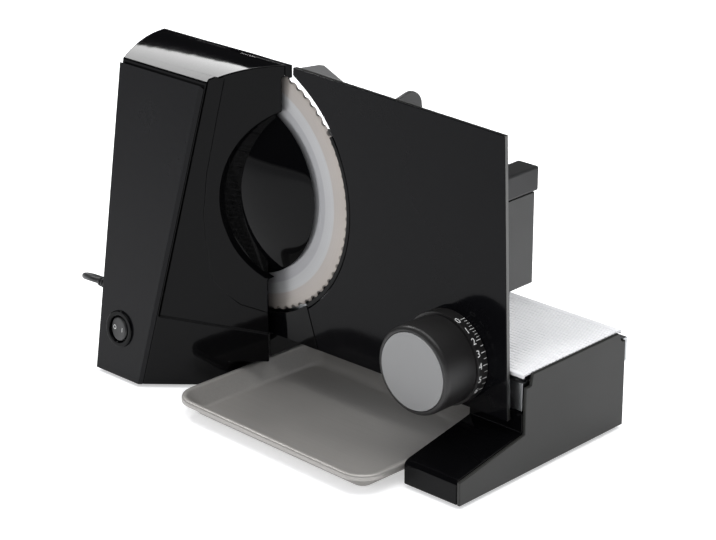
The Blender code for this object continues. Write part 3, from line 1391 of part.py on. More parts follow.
def least_gap(points, apart):
    """The least distance between the tube's surfaces where its run lies beside itself."""
    fine = []
    for a, b in zip(points, points[1:]):
        fine += [a.lerp(b, k / 3) for k in range(3)]
    nearest = 1.0
    for i, a in enumerate(fine):
        for b in fine[i + apart * 3 :]:
            nearest = min(nearest, (a - b).length)
    return nearest - CORD_DIAMETER


def cord_coil():
    points = coil_points()
    print("coil least gap %.2f mm" % (1000 * least_gap(points, COIL_POINTS // 3)))
    return finished(tube("cord_coil", points, CORD_RADIUS, 1), RUBBER)


def plug():
    """A flat two-pin plug that lies on the table behind the coil."""
    start = coil_points()[-1]
    near = start.y + GAP
    far = near + PLUG_LENGTH
    waist = PLUG_WIDTH / 4
    half = PLUG_WIDTH / 2
    ring = [(start.x - waist, near), (start.x + waist, near), (start.x + half, near + PLUG_LENGTH * 0.55)]
    ring += [(start.x + half, far), (start.x - half, far), (start.x - half, near + PLUG_LENGTH * 0.55)]
    body = outline("plug", [ring], PLUG_THICKNESS, (0, 0, start.z), (0, 0, 0))
    for side in (-1, 1):
        pin = rod(f"pin_{side}", PIN_RADIUS, 0.002, -PIN_LENGTH, (start.x + side * PIN_SPACING / 2, far, start.z), steps=12)
        joined(body, pin)
    return finished(body, RUBBER)


strain_relief()
cord_tube()
cord_coil()
plug()


# The frame: the middle of the slicer's box, without its cord, stands on the origin

CORD_PIECES = {"strain_relief", "cord_tube", "cord_coil", "plug"}


def slicer_box():
    bpy.context.view_layer.update()
    graph = bpy.context.evaluated_depsgraph_get()
    low = Vector((1, 1, 1))
    high = Vector((-1, -1, -1))
    for piece in parts.objects:
        if piece.type != "MESH" or piece.name in CORD_PIECES:
            continue
        seen = piece.evaluated_get(graph)
        for vertex in seen.data.vertices:
            place = seen.matrix_world @ vertex.co
            low = Vector(map(min, low, place))
            high = Vector(map(max, high, place))
    return low, high


low_corner, high_corner = slicer_box()
middle = (low_corner + high_corner) / 2
root.location = (-middle.x, -middle.y, 0)
bpy.context.view_layer.update()
print("frame moved by %.5f %.5f" % (-middle.x, -middle.y))
for empty in parts.objects:
    if empty.type == "EMPTY":
        print("pivot %s %.5f %.5f %.5f" % (empty.name, *empty.matrix_world.translation))
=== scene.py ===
from math import atan2, cos, pi, radians, sin, sqrt, tan

import bmesh
import bpy
from mathutils import Matrix, Quaternion, Vector


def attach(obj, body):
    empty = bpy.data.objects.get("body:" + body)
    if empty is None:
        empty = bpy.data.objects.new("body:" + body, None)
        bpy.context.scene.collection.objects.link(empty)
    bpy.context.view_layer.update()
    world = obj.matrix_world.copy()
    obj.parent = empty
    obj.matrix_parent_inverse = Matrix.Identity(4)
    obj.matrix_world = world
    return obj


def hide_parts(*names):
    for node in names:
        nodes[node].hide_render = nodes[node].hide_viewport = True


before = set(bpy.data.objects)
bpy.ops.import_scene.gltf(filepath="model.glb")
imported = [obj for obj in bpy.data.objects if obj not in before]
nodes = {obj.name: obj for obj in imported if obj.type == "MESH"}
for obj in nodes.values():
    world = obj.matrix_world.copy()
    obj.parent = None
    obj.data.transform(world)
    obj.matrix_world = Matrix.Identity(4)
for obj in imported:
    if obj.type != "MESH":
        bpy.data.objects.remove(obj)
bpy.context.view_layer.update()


# Camera and studio.
# The slicer stands on a white table and is seen from its front right corner, a little from above.
# Soft boxes hang over it and at its sides; table and backdrop look white to the camera and in gloss.

def hold(piece=None):
    """Puts every object down and takes up one piece."""
    if bpy.context.mode != "OBJECT":
        bpy.ops.object.mode_set(mode="OBJECT")
    bpy.ops.object.select_all(action="DESELECT")
    if piece is not None:
        piece.select_set(True)
        bpy.context.view_layer.objects.active = piece


def shown(level):
    """A colour value from 0 to 255, as it looks on a screen, as a share of the light."""
    share = level / 255
    return share / 12.92 if share <= 0.04045 else ((share + 0.055) / 1.055) ** 2.4


def tint(red, green, blue):
    return (shown(red), shown(green), shown(blue), 1.0)


hold()
bpy.ops.object.camera_add(location=(1.0273, -1.0847, 0.6894), rotation=(radians(68.05), 0, radians(43.24)))
camera = bpy.context.object
camera.data.lens = 126.9
camera.data.sensor_width = 36
camera.data.clip_end = 60
bpy.context.scene.camera = camera
bpy.context.scene.view_settings.view_transform = "Standard"


VECTORS = "ShaderNodeVectorMath"


def maths(tree, operation, first, second=None, kind="ShaderNodeMath"):
    """A maths node whose inputs are sockets or plain values, for numbers or for vectors."""
    node = tree.nodes.new(kind)
    node.operation = operation
    for socket, value in zip(node.inputs, (first, second)):
        if isinstance(value, bpy.types.NodeSocket):
            tree.links.new(value, socket)
        elif value is not None:
            socket.default_value = value
    return node.outputs[0]


def shown_apart(tree, unseen, seen, output):
    """Lights the scene with one shader, and shows the other to camera, mirror and glass rays."""
    path = tree.nodes.new("ShaderNodeLightPath").outputs
    direct = maths(tree, "MAXIMUM", path["Is Camera Ray"], path["Is Glossy Ray"])
    mix = tree.nodes.new("ShaderNodeMixShader")
    tree.links.new(maths(tree, "MAXIMUM", direct, path["Is Transmission Ray"]), mix.inputs[0])
    tree.links.new(unseen, mix.inputs[1])
    tree.links.new(seen, mix.inputs[2])
    tree.links.new(mix.outputs[0], tree.nodes.new(output).inputs["Surface"])


backdrop = bpy.data.worlds.new("backdrop")
bpy.context.scene.world = backdrop
backdrop.use_nodes = True
room = backdrop.node_tree
room.nodes.clear()
room_light = room.nodes.new("ShaderNodeBackground")
room_light.inputs["Color"].default_value = (0.93, 0.95, 1.0, 1.0)
room_light.inputs["Strength"].default_value = 0.62
room_seen = room.nodes.new("ShaderNodeBackground")
heading = room.nodes.new("ShaderNodeTexCoord")
height_share = room.nodes.new("ShaderNodeSeparateXYZ")
room.links.new(heading.outputs["Generated"], height_share.inputs[0])
ceiling = room.nodes.new("ShaderNodeValToRGB")
for stop, share, level in zip(ceiling.color_ramp.elements, (0.0, 0.03), (1.0, 0.02)):
    stop.position = share
    stop.color = (level, level, level, 1)
room.links.new(height_share.outputs["Z"], ceiling.inputs[0])
room.links.new(ceiling.outputs[0], room_seen.inputs["Color"])
shown_apart(room, room_light.outputs[0], room_seen.outputs[0], "ShaderNodeOutputWorld")

bpy.ops.mesh.primitive_plane_add(size=24, location=(0, 0, -0.0002))
table = bpy.context.object
table.name = "table"
table_top = bpy.data.materials.new("table_white")
table_top.use_nodes = True
table_nodes = table_top.node_tree
table_nodes.nodes.clear()
table_matt = table_nodes.nodes.new("ShaderNodeBsdfDiffuse")
table_matt.inputs["Color"].default_value = (0.80, 0.80, 0.80, 1)
table_glow = table_nodes.nodes.new("ShaderNodeEmission")
table_glow.inputs["Strength"].default_value = 0.45
table_both = table_nodes.nodes.new("ShaderNodeAddShader")
table_nodes.links.new(table_matt.outputs[0], table_both.inputs[0])
table_nodes.links.new(table_glow.outputs[0], table_both.inputs[1])
shown_apart(table_nodes, table_matt.outputs[0], table_both.outputs[0], "ShaderNodeOutputMaterial")
table.data.materials.append(table_top)


def soft_box(name, place, aim, size, power, roll=0.0):
    """An area lamp at a place, turned towards a point and rolled about its own line of sight."""
    bpy.ops.object.light_add(type="AREA", location=place)
    lamp = bpy.context.object
    lamp.name = name
    facing_aim = (Vector(aim) - Vector(place)).to_track_quat("-Z", "Y")
    lamp.rotation_euler = (facing_aim @ Quaternion((0, 0, 1), roll)).to_euler()
    lamp.data.shape = "RECTANGLE"
    lamp.data.size, lamp.data.size_y = size
    lamp.data.energy = power
    return lamp


soft_box("overhead_box", (0.15, 0.10, 1.70), (0, 0, 0.05), (1.5, 1.5), 24)
soft_box("left_box", (-0.911, 0.152, 1.053), (-0.141, 0.207, 0.173), (0.64, 0.20), 9.1, radians(-11))
front_box = soft_box("front_box", (0.5, -1.6, 0.9), (0, 0, 0.1), (1.0, 0.7), 7)
front_box.visible_glossy = False


# Power cord.
# A round black two-core lead, pressed into a tapered rubber sleeve where it leaves the tower.
# Its spare length is wound flat behind the slicer and held by a strap; it ends in a moulded plug.

def work_on(piece):
    """Takes up one piece in edit mode."""
    hold(piece)
    bpy.ops.object.mode_set(mode="EDIT")


def pick(piece, kind, wanted):
    """In edit mode, selects only the faces, edges or corners that the test takes."""
    bpy.ops.mesh.select_mode(type=kind)
    bpy.ops.mesh.select_all(action="DESELECT")
    shape = bmesh.from_edit_mesh(piece.data)
    items = {"FACE": shape.faces, "EDGE": shape.edges, "VERT": shape.verts}[kind]
    items.ensure_lookup_table()
    for item in items:
        if wanted(item):
            item.select_set(True)
    shape.select_flush_mode()
    bmesh.update_edit_mesh(piece.data)


def pick_all():
    bpy.ops.mesh.select_all(action="SELECT")


def applied(piece, kind, **settings):
    """Adds a modifier with its settings and applies it."""
    hold(piece)
    step = piece.modifiers.new("step", kind)
    for name, value in settings.items():
        setattr(step, name, value)
    bpy.ops.object.modifier_apply(modifier=step.name)
    return piece


def soften(piece, width, segments=3, angle=32):
    """Rounds the sharp edges, as a mould or a file does, and smooths what is left."""
    applied(piece, "BEVEL", width=width, segments=segments, limit_method="ANGLE", angle_limit=radians(angle),
            use_clamp_overlap=False, miter_outer="MITER_ARC")
    return smooth(piece, angle)


def smooth(piece, angle=32):
    """Smooths what bends gently; large faces stay truly flat, whatever is rounded beside them."""
    hold(piece)
    bpy.ops.object.shade_smooth_by_angle(angle=radians(angle))
    return applied(piece, "WEIGHTED_NORMAL", mode="FACE_AREA", weight=100, keep_sharp=True)


def named(name):
    """The piece that was just added, under its name, its place and turn applied to its mesh."""
    piece = bpy.context.object
    piece.name = name
    bpy.ops.object.transform_apply(location=True, rotation=True, scale=True)
    return piece


def block(name, low, high):
    """A box between two corners, to be shaped or to cut with."""
    low, high = Vector(low), Vector(high)
    hold()
    bpy.ops.mesh.primitive_cube_add(size=1, location=(low + high) / 2, scale=high - low)
    return named(name)


def turned(name, rings, count=96, hollow=False):
    """A round piece drawn out along Z from a circle, ring by ring, as (radius, height) pairs."""
    radius, height = rings[0]
    hold()
    bpy.ops.mesh.primitive_circle_add(vertices=count, radius=radius, location=(0, 0, height),
                                      fill_type="NOTHING" if hollow else "NGON")
    piece = named(name)
    work_on(piece)
    bpy.ops.mesh.select_mode(type="EDGE" if hollow else "FACE")
    pick_all()
    for next_radius, next_height in rings[1:]:
        move = {"value": (0, 0, next_height - height)}
        if hollow:
            bpy.ops.mesh.extrude_edges_move(TRANSFORM_OT_translate=move)
        else:
            bpy.ops.mesh.extrude_region_move(TRANSFORM_OT_translate=move)
        share = next_radius / radius
        bpy.ops.transform.resize(value=(share, share, 1), center_override=(0, 0, next_height))
        radius, height = next_radius, next_height
    pick_all()
    bpy.ops.mesh.remove_doubles(threshold=0.000002)
    bpy.ops.mesh.normals_make_consistent(inside=False)
    hold(piece)
    return piece


def placed(piece, place=(0, 0, 0), turn=(0, 0, 0)):
    """Applies a piece's place and turn to its mesh."""
    hold(piece)
    piece.location = place
    piece.rotation_euler = turn
    bpy.ops.object.transform_apply(location=True, rotation=True, scale=True)
    return piece


# The drawing has the blade's axis at x = 0, y = 0; the pack has the middle of the slicer's box there,
# its cord left out.
TO_PACK = Vector((-0.06930, -0.01661, 0.0))


def fitted(piece, body, slot, finish, *replaced):
    """Moves a drawn piece into the pack's frame and gives it its body and finish; its slot is not used."""
    hold(piece)
    piece.location = TO_PACK
    bpy.ops.object.transform_apply(location=True, rotation=True, scale=True)
    if not piece.data.materials:
        piece.data.materials.append(finish)
    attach(piece, body)
    if replaced:
        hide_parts(*replaced)
    return piece


def stretched_noise(tree, place, stretch, detail=3.0):
    """Noise on a place that is stretched along its axes, or evenly by one number."""
    noise = tree.nodes.new("ShaderNodeTexNoise")
    noise.inputs["Scale"].default_value = 1.0
    noise.inputs["Detail"].default_value = detail
    tree.links.new(maths(tree, "MULTIPLY", place, stretch, VECTORS), noise.inputs["Vector"])
    return noise.outputs["Fac"]


def toned(tree, colour, factor):
    """A colour made lighter or darker by a factor."""
    scale = tree.nodes.new(VECTORS)
    scale.operation = "SCALE"
    tree.links.new(colour, scale.inputs[0])
    tree.links.new(factor, scale.inputs["Scale"])
    return scale.outputs[0]


def surface_group(name, *extra_inputs):
    """A node group for surfaces, its inputs and its outputs."""
    group = bpy.data.node_groups.new(name, "ShaderNodeTree")
    number, colour = "NodeSocketFloat", "NodeSocketColor"
    for label, kind, value in (("Colour", colour, (0.5, 0.5, 0.5, 1)), ("Roughness", number, 0.5),
                               ("Unevenness", number, 0.1), *extra_inputs):
        group.interface.new_socket(label, in_out="INPUT", socket_type=kind).default_value = value
    for label, kind in (("Colour", colour), ("Roughness", number), ("Height", number)):
        group.interface.new_socket(label, in_out="OUTPUT", socket_type=kind)
    return group, group.nodes.new("NodeGroupInput").outputs, group.nodes.new("NodeGroupOutput").inputs


def varied(group, given, put_out, unevenness, relief, rough_share=1.0):
    """Lets an unevenness about nought vary a group's colour and roughness, and puts out its relief."""
    vary = maths(group, "MULTIPLY", unevenness, given["Unevenness"])
    group.links.new(toned(group, given["Colour"], maths(group, "ADD", vary, 1.0)), put_out["Colour"])
    rough = maths(group, "ADD", maths(group, "MULTIPLY", vary, rough_share), 1.0)
    group.links.new(maths(group, "MULTIPLY", given["Roughness"], rough), put_out["Roughness"])
    group.links.new(relief, put_out["Height"])


# Moulded plastic and rubber: a fine spark-eroded grain over broad, faint clouds from the mould.
moulded, skin_in, skin_out = surface_group("moulded_skin", ("Grain", "NodeSocketFloat", 1200.0))
skin_place = moulded.nodes.new("ShaderNodeTexCoord").outputs["Object"]
skin_grain = stretched_noise(moulded, skin_place, skin_in["Grain"], 2.0)
skin_clouds = stretched_noise(moulded, skin_place, (24, 24, 24), 4.0)
varied(moulded, skin_in, skin_out, maths(moulded, "SUBTRACT", skin_clouds, 0.5), skin_grain, 2.0)


def surfaced(name, group, colour, roughness, unevenness, relief, metallic=0.0, specular=0.5, **own):
    """A material whose colour, roughness and relief come from one of the surface groups."""
    made = bpy.data.materials.new(name)
    made.use_nodes = True
    tree = made.node_tree
    shader = tree.nodes["Principled BSDF"]
    skin = tree.nodes.new("ShaderNodeGroup")
    skin.node_tree = group
    skin.inputs["Colour"].default_value = colour
    skin.inputs["Roughness"].default_value = roughness
    skin.inputs["Unevenness"].default_value = unevenness
    for label, value in own.items():
        skin.inputs[label].default_value = value
    tree.links.new(skin.outputs["Colour"], shader.inputs["Base Color"])
    tree.links.new(skin.outputs["Roughness"], shader.inputs["Roughness"])
    bump = tree.nodes.new("ShaderNodeBump")
    bump.inputs["Distance"].default_value = relief
    tree.links.new(skin.outputs["Height"], bump.inputs["Height"])
    tree.links.new(bump.outputs["Normal"], shader.inputs["Normal"])
    shader.inputs["Metallic"].default_value = metallic
    shader.inputs["Specular IOR Level"].default_value = specular
    return made


lead_rubber = surfaced("lead_rubber", moulded, tint(26, 26, 27), 0.5, 0.3, 0.00004, Grain=1500.0)

RELIEF_PLACE = (-0.0808, -0.0450, 0.0500)
relief_rings = [(0.0052, 0), (0.0052, 0.0022), (0.0047, 0.0030)]
for groove in range(6):
    rise = 0.0042 + groove * 0.0028
    radius = 0.0046 - groove * 0.00024
    relief_rings += [(radius, rise), (radius - 0.0009, rise + 0.0004), (radius - 0.0009, rise + 0.0012),
                     (radius - 0.0001, rise + 0.0016)]
relief_rings += [(0.0031, 0.0215), (0.0028, 0.0220)]
sleeve = smooth(placed(turned("cord_sleeve", relief_rings, 48), RELIEF_PLACE, (0, -pi / 2, 0)))
fitted(sleeve, "base", "rubber", lead_rubber, "strain_relief")

CORD_DIAMETER = 0.0044
CORD_LIE = 0.0025
COIL_MIDDLE = Vector((-0.0450, 0.1500, CORD_LIE))
COIL_TURNS = 7
COIL_INNER = 0.01475
COIL_PITCH = 0.0050
COIL_LAYER = 0.0049
COIL_POINTS = 48
coil_start_x = COIL_MIDDLE.x - COIL_INNER - COIL_PITCH * COIL_TURNS / 2
CORD_ROUTE = [
    (-0.1031, -0.0450, 0.0500), (-0.1120, -0.0450, 0.0496), (-0.1240, -0.0400, 0.0465),
    (-0.1310, -0.0270, 0.0400), (-0.1320, -0.0080, 0.0290), (-0.1290, 0.0150, 0.0160),
    (-0.1240, 0.0380, 0.0075), (-0.1170, 0.0580, 0.0035), (-0.1070, 0.0800, CORD_LIE),
    (-0.0930, 0.1060, CORD_LIE), (-0.0815, 0.1270, CORD_LIE), (coil_start_x, 0.1390, CORD_LIE),
    (coil_start_x, 0.1453, CORD_LIE),
]
cord_points = []
knots = [Vector(p) for p in CORD_ROUTE]
knots = [2 * knots[0] - knots[1]] + knots + [2 * knots[-1] - knots[-2]]
for k in range(1, len(knots) - 2):
    a, b, c, d = knots[k - 1:k + 3]
    for j in range(4):
        t = j / 4
        cord_points.append(0.5 * (2 * b + (c - a) * t + (2 * a - 5 * b + 4 * c - d) * t**2
                                  + (3 * b - a - 3 * c + d) * t**3))
cord_points.append(knots[-2])
for i in range(COIL_TURNS * COIL_POINTS + 1):
    turns = i / COIL_POINTS
    from_middle = turns - COIL_TURNS / 2
    radius = COIL_INNER + COIL_PITCH * sqrt(from_middle**2 + 0.01)
    climb = min(1.0, max(0.0, (from_middle + 0.25) / 0.5))
    angle = pi - 2 * pi * turns
    cord_points.append(COIL_MIDDLE + Vector((radius * cos(angle), radius * sin(angle),
                                             COIL_LAYER * climb * climb * (3 - 2 * climb))))
cord_points.append(cord_points[-1] + Vector((0, 0.0280, 0)))
lead_line = bpy.data.curves.new("power_cord", "CURVE")
lead_line.dimensions = "3D"
lead_line.bevel_depth = CORD_DIAMETER / 2
lead_line.bevel_resolution = 5
lead_line.use_fill_caps = True
lead_spline = lead_line.splines.new("POLY")
lead_spline.points.add(len(cord_points) - 1)
for point, place in zip(lead_spline.points, cord_points):
    point.co = (*(place + TO_PACK), 1)
    point.radius = 1.0
lead_line.materials.append(lead_rubber)
power_cord = bpy.data.objects.new("power_cord", lead_line)
bpy.context.scene.collection.objects.link(power_cord)

# Strap round the coil's turns, on the side away from the tower
STRAP_WIDTH = 0.0090
strap_near = COIL_MIDDLE.x + COIL_INNER - CORD_DIAMETER / 2 - 0.0006
strap_far = COIL_MIDDLE.x + COIL_INNER + COIL_PITCH * COIL_TURNS / 2 + CORD_DIAMETER / 2 + 0.0006
strap_low, strap_high = 0.0001, CORD_LIE + COIL_LAYER + CORD_DIAMETER / 2 + 0.0006
strap = block("cord_strap", (strap_near, COIL_MIDDLE.y - STRAP_WIDTH / 2, strap_low),
              (strap_far, COIL_MIDDLE.y + STRAP_WIDTH / 2, strap_high))
work_on(strap)
pick(strap, "EDGE", lambda e: abs(e.verts[0].co.y - e.verts[1].co.y) > STRAP_WIDTH / 2)
bpy.ops.mesh.bevel(offset=0.0026, segments=6)
pick(strap, "FACE", lambda f: abs(f.normal.y) > 0.9)
bpy.ops.mesh.delete(type="FACE")
hold(strap)
applied(strap, "SOLIDIFY", thickness=0.0005, offset=-1)
smooth(strap)
fitted(strap, "base", "rubber", lead_rubber)

# Plug: a flat moulded body that narrows to the lead, grip grooves in its sides, two round pins
PLUG_LENGTH, PLUG_WIDTH, PLUG_THICKNESS = 0.0360, 0.0340, 0.0136
plug_near = Vector(cord_points[-1]) + Vector((0, 0.0003, 0))
plug_corner = Vector((PLUG_WIDTH / 2, 0, PLUG_THICKNESS / 2))
plug = block("plug_body", plug_near - plug_corner, plug_near + plug_corner + Vector((0, PLUG_LENGTH, 0)))
work_on(plug)
pick_all()
bpy.ops.mesh.bisect(plane_co=(0, plug_near.y + PLUG_LENGTH * 0.55, 0), plane_no=(0, 1, 0))
pick(plug, "VERT", lambda v: v.co.y < plug_near.y + 0.001)
bpy.ops.transform.resize(value=(0.44, 1, 0.72), center_override=plug_near)
pick(plug, "EDGE", lambda e: abs(e.verts[0].co.y - e.verts[1].co.y) > 0.005)
bpy.ops.mesh.bevel(offset=0.0042, segments=5)
hold(plug)
soften(plug, 0.0011, 3)
PIN_SPACING = 0.0190
pin_rings = [(0.0020, -0.002), (0.0020, 0.0090), (0.00185, 0.0092), (0.00185, 0.0178), (0.0013, 0.0188),
             (0.0006, 0.0190)]
plug_pins = []
for side in (-1, 1):
    pin_place = plug_near + Vector((side * PIN_SPACING / 2, PLUG_LENGTH, 0))
    plug_pins.append(smooth(placed(turned("plug_pin", pin_rings, 24), pin_place, (-pi / 2, 0, 0))))


# Brushed, drawn and rolled metal: fine lines along one direction, over faint clouds.
drawn, drawn_in, drawn_out = surface_group(
    "drawn_metal", ("Stretch", "NodeSocketVector", (8, 900, 900)))
drawn_place = drawn.nodes.new("ShaderNodeTexCoord").outputs["Object"]
drawn_lines = stretched_noise(drawn, drawn_place, drawn_in["Stretch"], 4.0)
drawn_clouds = stretched_noise(drawn, drawn_place, (16, 16, 16), 3.0)
drawn_both = maths(drawn, "SUBTRACT", maths(drawn, "ADD", drawn_lines, drawn_clouds), 1.0)
varied(drawn, drawn_in, drawn_out, drawn_both, drawn_lines)

plain_steel = surfaced("plain_steel", drawn, tint(168, 168, 170), 0.28, 0.25, 0.00001, metallic=1.0,
                       Stretch=(300.0, 300.0, 300.0))
fitted(plug, "base", "rubber", lead_rubber, "plug")
for pin in plug_pins:
    fitted(pin, "base", "steel", plain_steel)
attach(power_cord, "base")
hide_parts("cord_tube", "cord_coil")


# Motor tower.
# A tall moulding in high-gloss black: a round crown, a front that leans back, and a slanting flank
# whose round mouth shows the blade. A satin panel lines its front; inside are worm, motor and posts.

GAP = 0.0003
BLADE_HEIGHT = 0.1340
TOWER_LEFT, TOWER_BACK, TOWER_TOP = -0.0805, -0.0043, 0.2209
TOWER_FOOT = 0.0020
TOWER_FRONT = -0.0702
TOWER_LEAN = radians(8.4)
CROWN_RADIUS = 0.0588
CROWN_Y = -0.0020
PANEL_THICKNESS = 0.0020
WALL = 0.0035
FLANK_FOOT = Vector((0.0365, -0.0020, 0))
FLANK_TURN = radians(41.9)
FLANK_NORMAL = Vector((sin(FLANK_TURN), -cos(FLANK_TURN), 0))
PANEL_NORMAL = Vector((0, -cos(TOWER_LEAN), sin(TOWER_LEAN)))
PANEL_UP = Vector((0, sin(TOWER_LEAN), cos(TOWER_LEAN)))


def facing(normal, up):
    """The turn that points a piece's own Z along a normal and its Y up."""
    side = up.cross(normal)
    return Matrix((side, up, normal)).transposed().to_euler()


def front_y(height, inset=0.0):
    """Where the leaning front, or a plane behind it, is at a height."""
    return TOWER_FRONT + (height - TOWER_FOOT) * tan(TOWER_LEAN) + inset / cos(TOWER_LEAN)


def flank_place(along, height, out=0.0):
    """A place on the flank: along it to the left, up, and out from it."""
    x = FLANK_FOOT.x - along * cos(FLANK_TURN) + out * sin(FLANK_TURN)
    y = FLANK_FOOT.y - along * sin(FLANK_TURN) - out * cos(FLANK_TURN)
    return Vector((x, y, height))


def flat_outline(name, points, height=0.0):
    """A flat piece, taken up in edit mode: a circle's corners moved onto an outline in X and Y."""
    hold()
    bpy.ops.mesh.primitive_circle_add(vertices=len(points), radius=1, fill_type="NGON")
    piece = named(name)
    for corner, (x, y) in zip(piece.data.vertices, points):
        corner.co = (x, y, height)
    work_on(piece)
    bpy.ops.mesh.select_mode(type="FACE")
    pick_all()
    return piece


def outlined(name, points, thickness):
    """A flat outline drawn up along Z."""
    piece = flat_outline(name, points)
    bpy.ops.mesh.extrude_region_move(TRANSFORM_OT_translate={"value": (0, 0, thickness)})
    pick_all()
    bpy.ops.mesh.normals_make_consistent(inside=False)
    hold(piece)
    return piece


def cut_away(piece, *tools):
    for tool in tools:
        applied(piece, "BOOLEAN", operation="DIFFERENCE", solver="EXACT", object=tool)
        bpy.data.objects.remove(tool)
    return piece


def joined(piece, *others):
    for other in others:
        applied(piece, "BOOLEAN", operation="UNION", solver="EXACT", object=other)
        bpy.data.objects.remove(other)
    return piece


def sliced(piece, point, normal):
    """Cuts off what lies beyond a plane and closes the cut."""
    work_on(piece)
    pick_all()
    bpy.ops.mesh.bisect(plane_co=point, plane_no=normal, use_fill=True, clear_outer=True)
    hold(piece)
    return piece


def tower_body(name, front_inset, top_inset, left, right, back, foot):
    """The tower's block: a drum for the crown, sliced by front and back, and drawn down to the foot."""
    hold()
    radius = CROWN_RADIUS - top_inset
    bpy.ops.mesh.primitive_cylinder_add(vertices=256, radius=radius, depth=right - left,
                                        location=((left + right) / 2, CROWN_Y, TOWER_TOP - CROWN_RADIUS),
                                        rotation=(0, pi / 2, 0))
    body = named(name)
    waist = 0.1500
    sliced(body, (0, front_y(waist, front_inset), waist), PANEL_NORMAL)
    sliced(body, (0, 0, waist), (0, 0, -1))
    sliced(body, (0, back, waist), (0, 1, 0))
    work_on(body)
    pick(body, "FACE", lambda f: f.normal.z < -0.9)
    bpy.ops.mesh.extrude_region_move(TRANSFORM_OT_translate={"value": (0, 0, foot - waist)})
    pick(body, "VERT", lambda v: v.co.z < foot + 0.0001 and v.co.y < back - 0.002)
    bpy.ops.transform.translate(value=(0, -(waist - foot) * tan(TOWER_LEAN), 0))
    pick_all()
    bpy.ops.mesh.normals_make_consistent(inside=False)
    hold(body)
    return body


def past_flank_end(name, end_x, wall, bottom, top):
    """A block over all that lies right of the flank's end, square to the flank."""
    near = (FLANK_FOOT.x - end_x) / cos(FLANK_TURN) + wall
    far, reach = -0.06, 0.14
    corners = ((far, -reach), (near, -reach), (near, reach), (far, reach))
    ring = [flank_place(along, 0, out).xy for along, out in corners]
    return placed(outlined(name, ring, top - bottom), (0, 0, bottom))


STEP_X, STEP_HEIGHT = 0.0045, 0.0190
FLANK_LOWER_RIGHT, FLANK_LOWER_TOP = 0.0246, 0.0770
FLANK_UPPER_RIGHT, FLANK_UPPER_TOP = 0.0322, 0.2130
MOUTH_RADIUS, MOUTH_WALL = 0.0636, 0.0049
MOUTH_PLACE = flank_place(-0.0174, 0.1314)
FLANK_FACING = facing(FLANK_NORMAL, Vector((0, 0, 1)))
FRONTWARD = (pi / 2, 0, 0)

tower = tower_body("tower_casing", PANEL_THICKNESS + GAP, 0.0, TOWER_LEFT, 0.0600, TOWER_BACK, TOWER_FOOT)
sliced(tower, FLANK_FOOT, FLANK_NORMAL)
cavity = tower_body("tower_inside", PANEL_THICKNESS + GAP + WALL, WALL, TOWER_LEFT + WALL, 0.0600,
                    TOWER_BACK + 0.0020, TOWER_FOOT + WALL)
sliced(cavity, FLANK_FOOT - FLANK_NORMAL * WALL, FLANK_NORMAL)
thick_wall = turned("mouth_wall", [(MOUTH_RADIUS + 0.0030, 0.001), (MOUTH_RADIUS + 0.0030, -MOUTH_WALL)], 128)
placed(thick_wall, MOUTH_PLACE, FLANK_FACING)
cut_away(cavity, block("step_wall", (STEP_X - WALL, -0.1, -0.02), (0.1, 0.1, STEP_HEIGHT + WALL)),
         past_flank_end("end_wall", FLANK_LOWER_RIGHT, WALL, -0.03, FLANK_LOWER_TOP - WALL), thick_wall)
cut_away(tower, block("step", (STEP_X, -0.1, -0.02), (0.1, 0.1, STEP_HEIGHT)),
         past_flank_end("lower_end", FLANK_LOWER_RIGHT, 0.0, -0.03, FLANK_LOWER_TOP),
         past_flank_end("upper_end", FLANK_UPPER_RIGHT, 0.0, 0.0570, FLANK_UPPER_TOP), cavity)

# The mouth is cut straight back, so its wall shows as a dark crescent on the left.
mouth = turned("mouth", [(MOUTH_RADIUS, -0.02), (MOUTH_RADIUS, 0.09)], 128)
work_on(mouth)
pick_all()
bpy.ops.transform.resize(value=(cos(FLANK_TURN), 1, 1), center_override=(0, 0, 0))
placed(mouth, (MOUTH_PLACE.x, 0, MOUTH_PLACE.z), FRONTWARD)
POCKET = [(0.0412, 0.0783), (0.0471, 0.0496), (0.0540, 0.0140), (0.0565, -0.0123), (0.0558, -0.0288),
          (0.0538, -0.0455), (0.0513, -0.0581), (0.0433, -0.0673), (0.0341, -0.0748), (0.0177, -0.0801),
          (0.0100, -0.0820), (0.0100, -0.0965)]
pocket_ring = [(-along, rise) for along, rise in POCKET]
for rise in (-0.0835, 0.0783):
    edge = (FLANK_FOOT.y - front_y(BLADE_HEIGHT + rise)) / sin(FLANK_TURN) - 0.0045
    pocket_ring.append((-edge, rise))
pocket = placed(outlined("pocket", pocket_ring, 0.0032), flank_place(0, BLADE_HEIGHT, -0.0016),
                FLANK_FACING)

SWITCH_PLACE = Vector((-0.0608, front_y(0.0340), 0.0340))
PANEL_FACING = facing(PANEL_NORMAL, PANEL_UP)


def switch_hole():
    """A plug as wide as the hole for the switch, to cut the tower and its panel with."""
    return placed(turned("switch_hole", [(0.0103, 0.004), (0.0103, -0.012)], 64), SWITCH_PLACE, PANEL_FACING)


cut_away(tower, mouth, pocket, switch_hole())
soften(tower, 0.0007, 3)

# Gloss black shows the room in it; its skin waves a little, as thick mouldings do.
gloss_black = surfaced("gloss_black", moulded, tint(6, 6, 7), 0.07, 0.3, 0.00005, specular=0.10,
                       Grain=70.0)
fitted(tower, "base", "gloss_black", gloss_black, "tower_shell")


def crown_crease(inset):
    """Where the leaning front, or a plane behind it, meets the round crown."""
    slope = tan(TOWER_LEAN)
    y0 = front_y(TOWER_FOOT, inset) - TOWER_FOOT * slope - CROWN_Y
    z0 = TOWER_TOP - CROWN_RADIUS
    b = 2 * (y0 * slope - z0)
    c = y0 * y0 + z0 * z0 - CROWN_RADIUS**2
    height = (-b + sqrt(b * b - 4 * (1 + slope * slope) * c)) / (2 * (1 + slope * slope))
    return y0 + slope * height + CROWN_Y, height


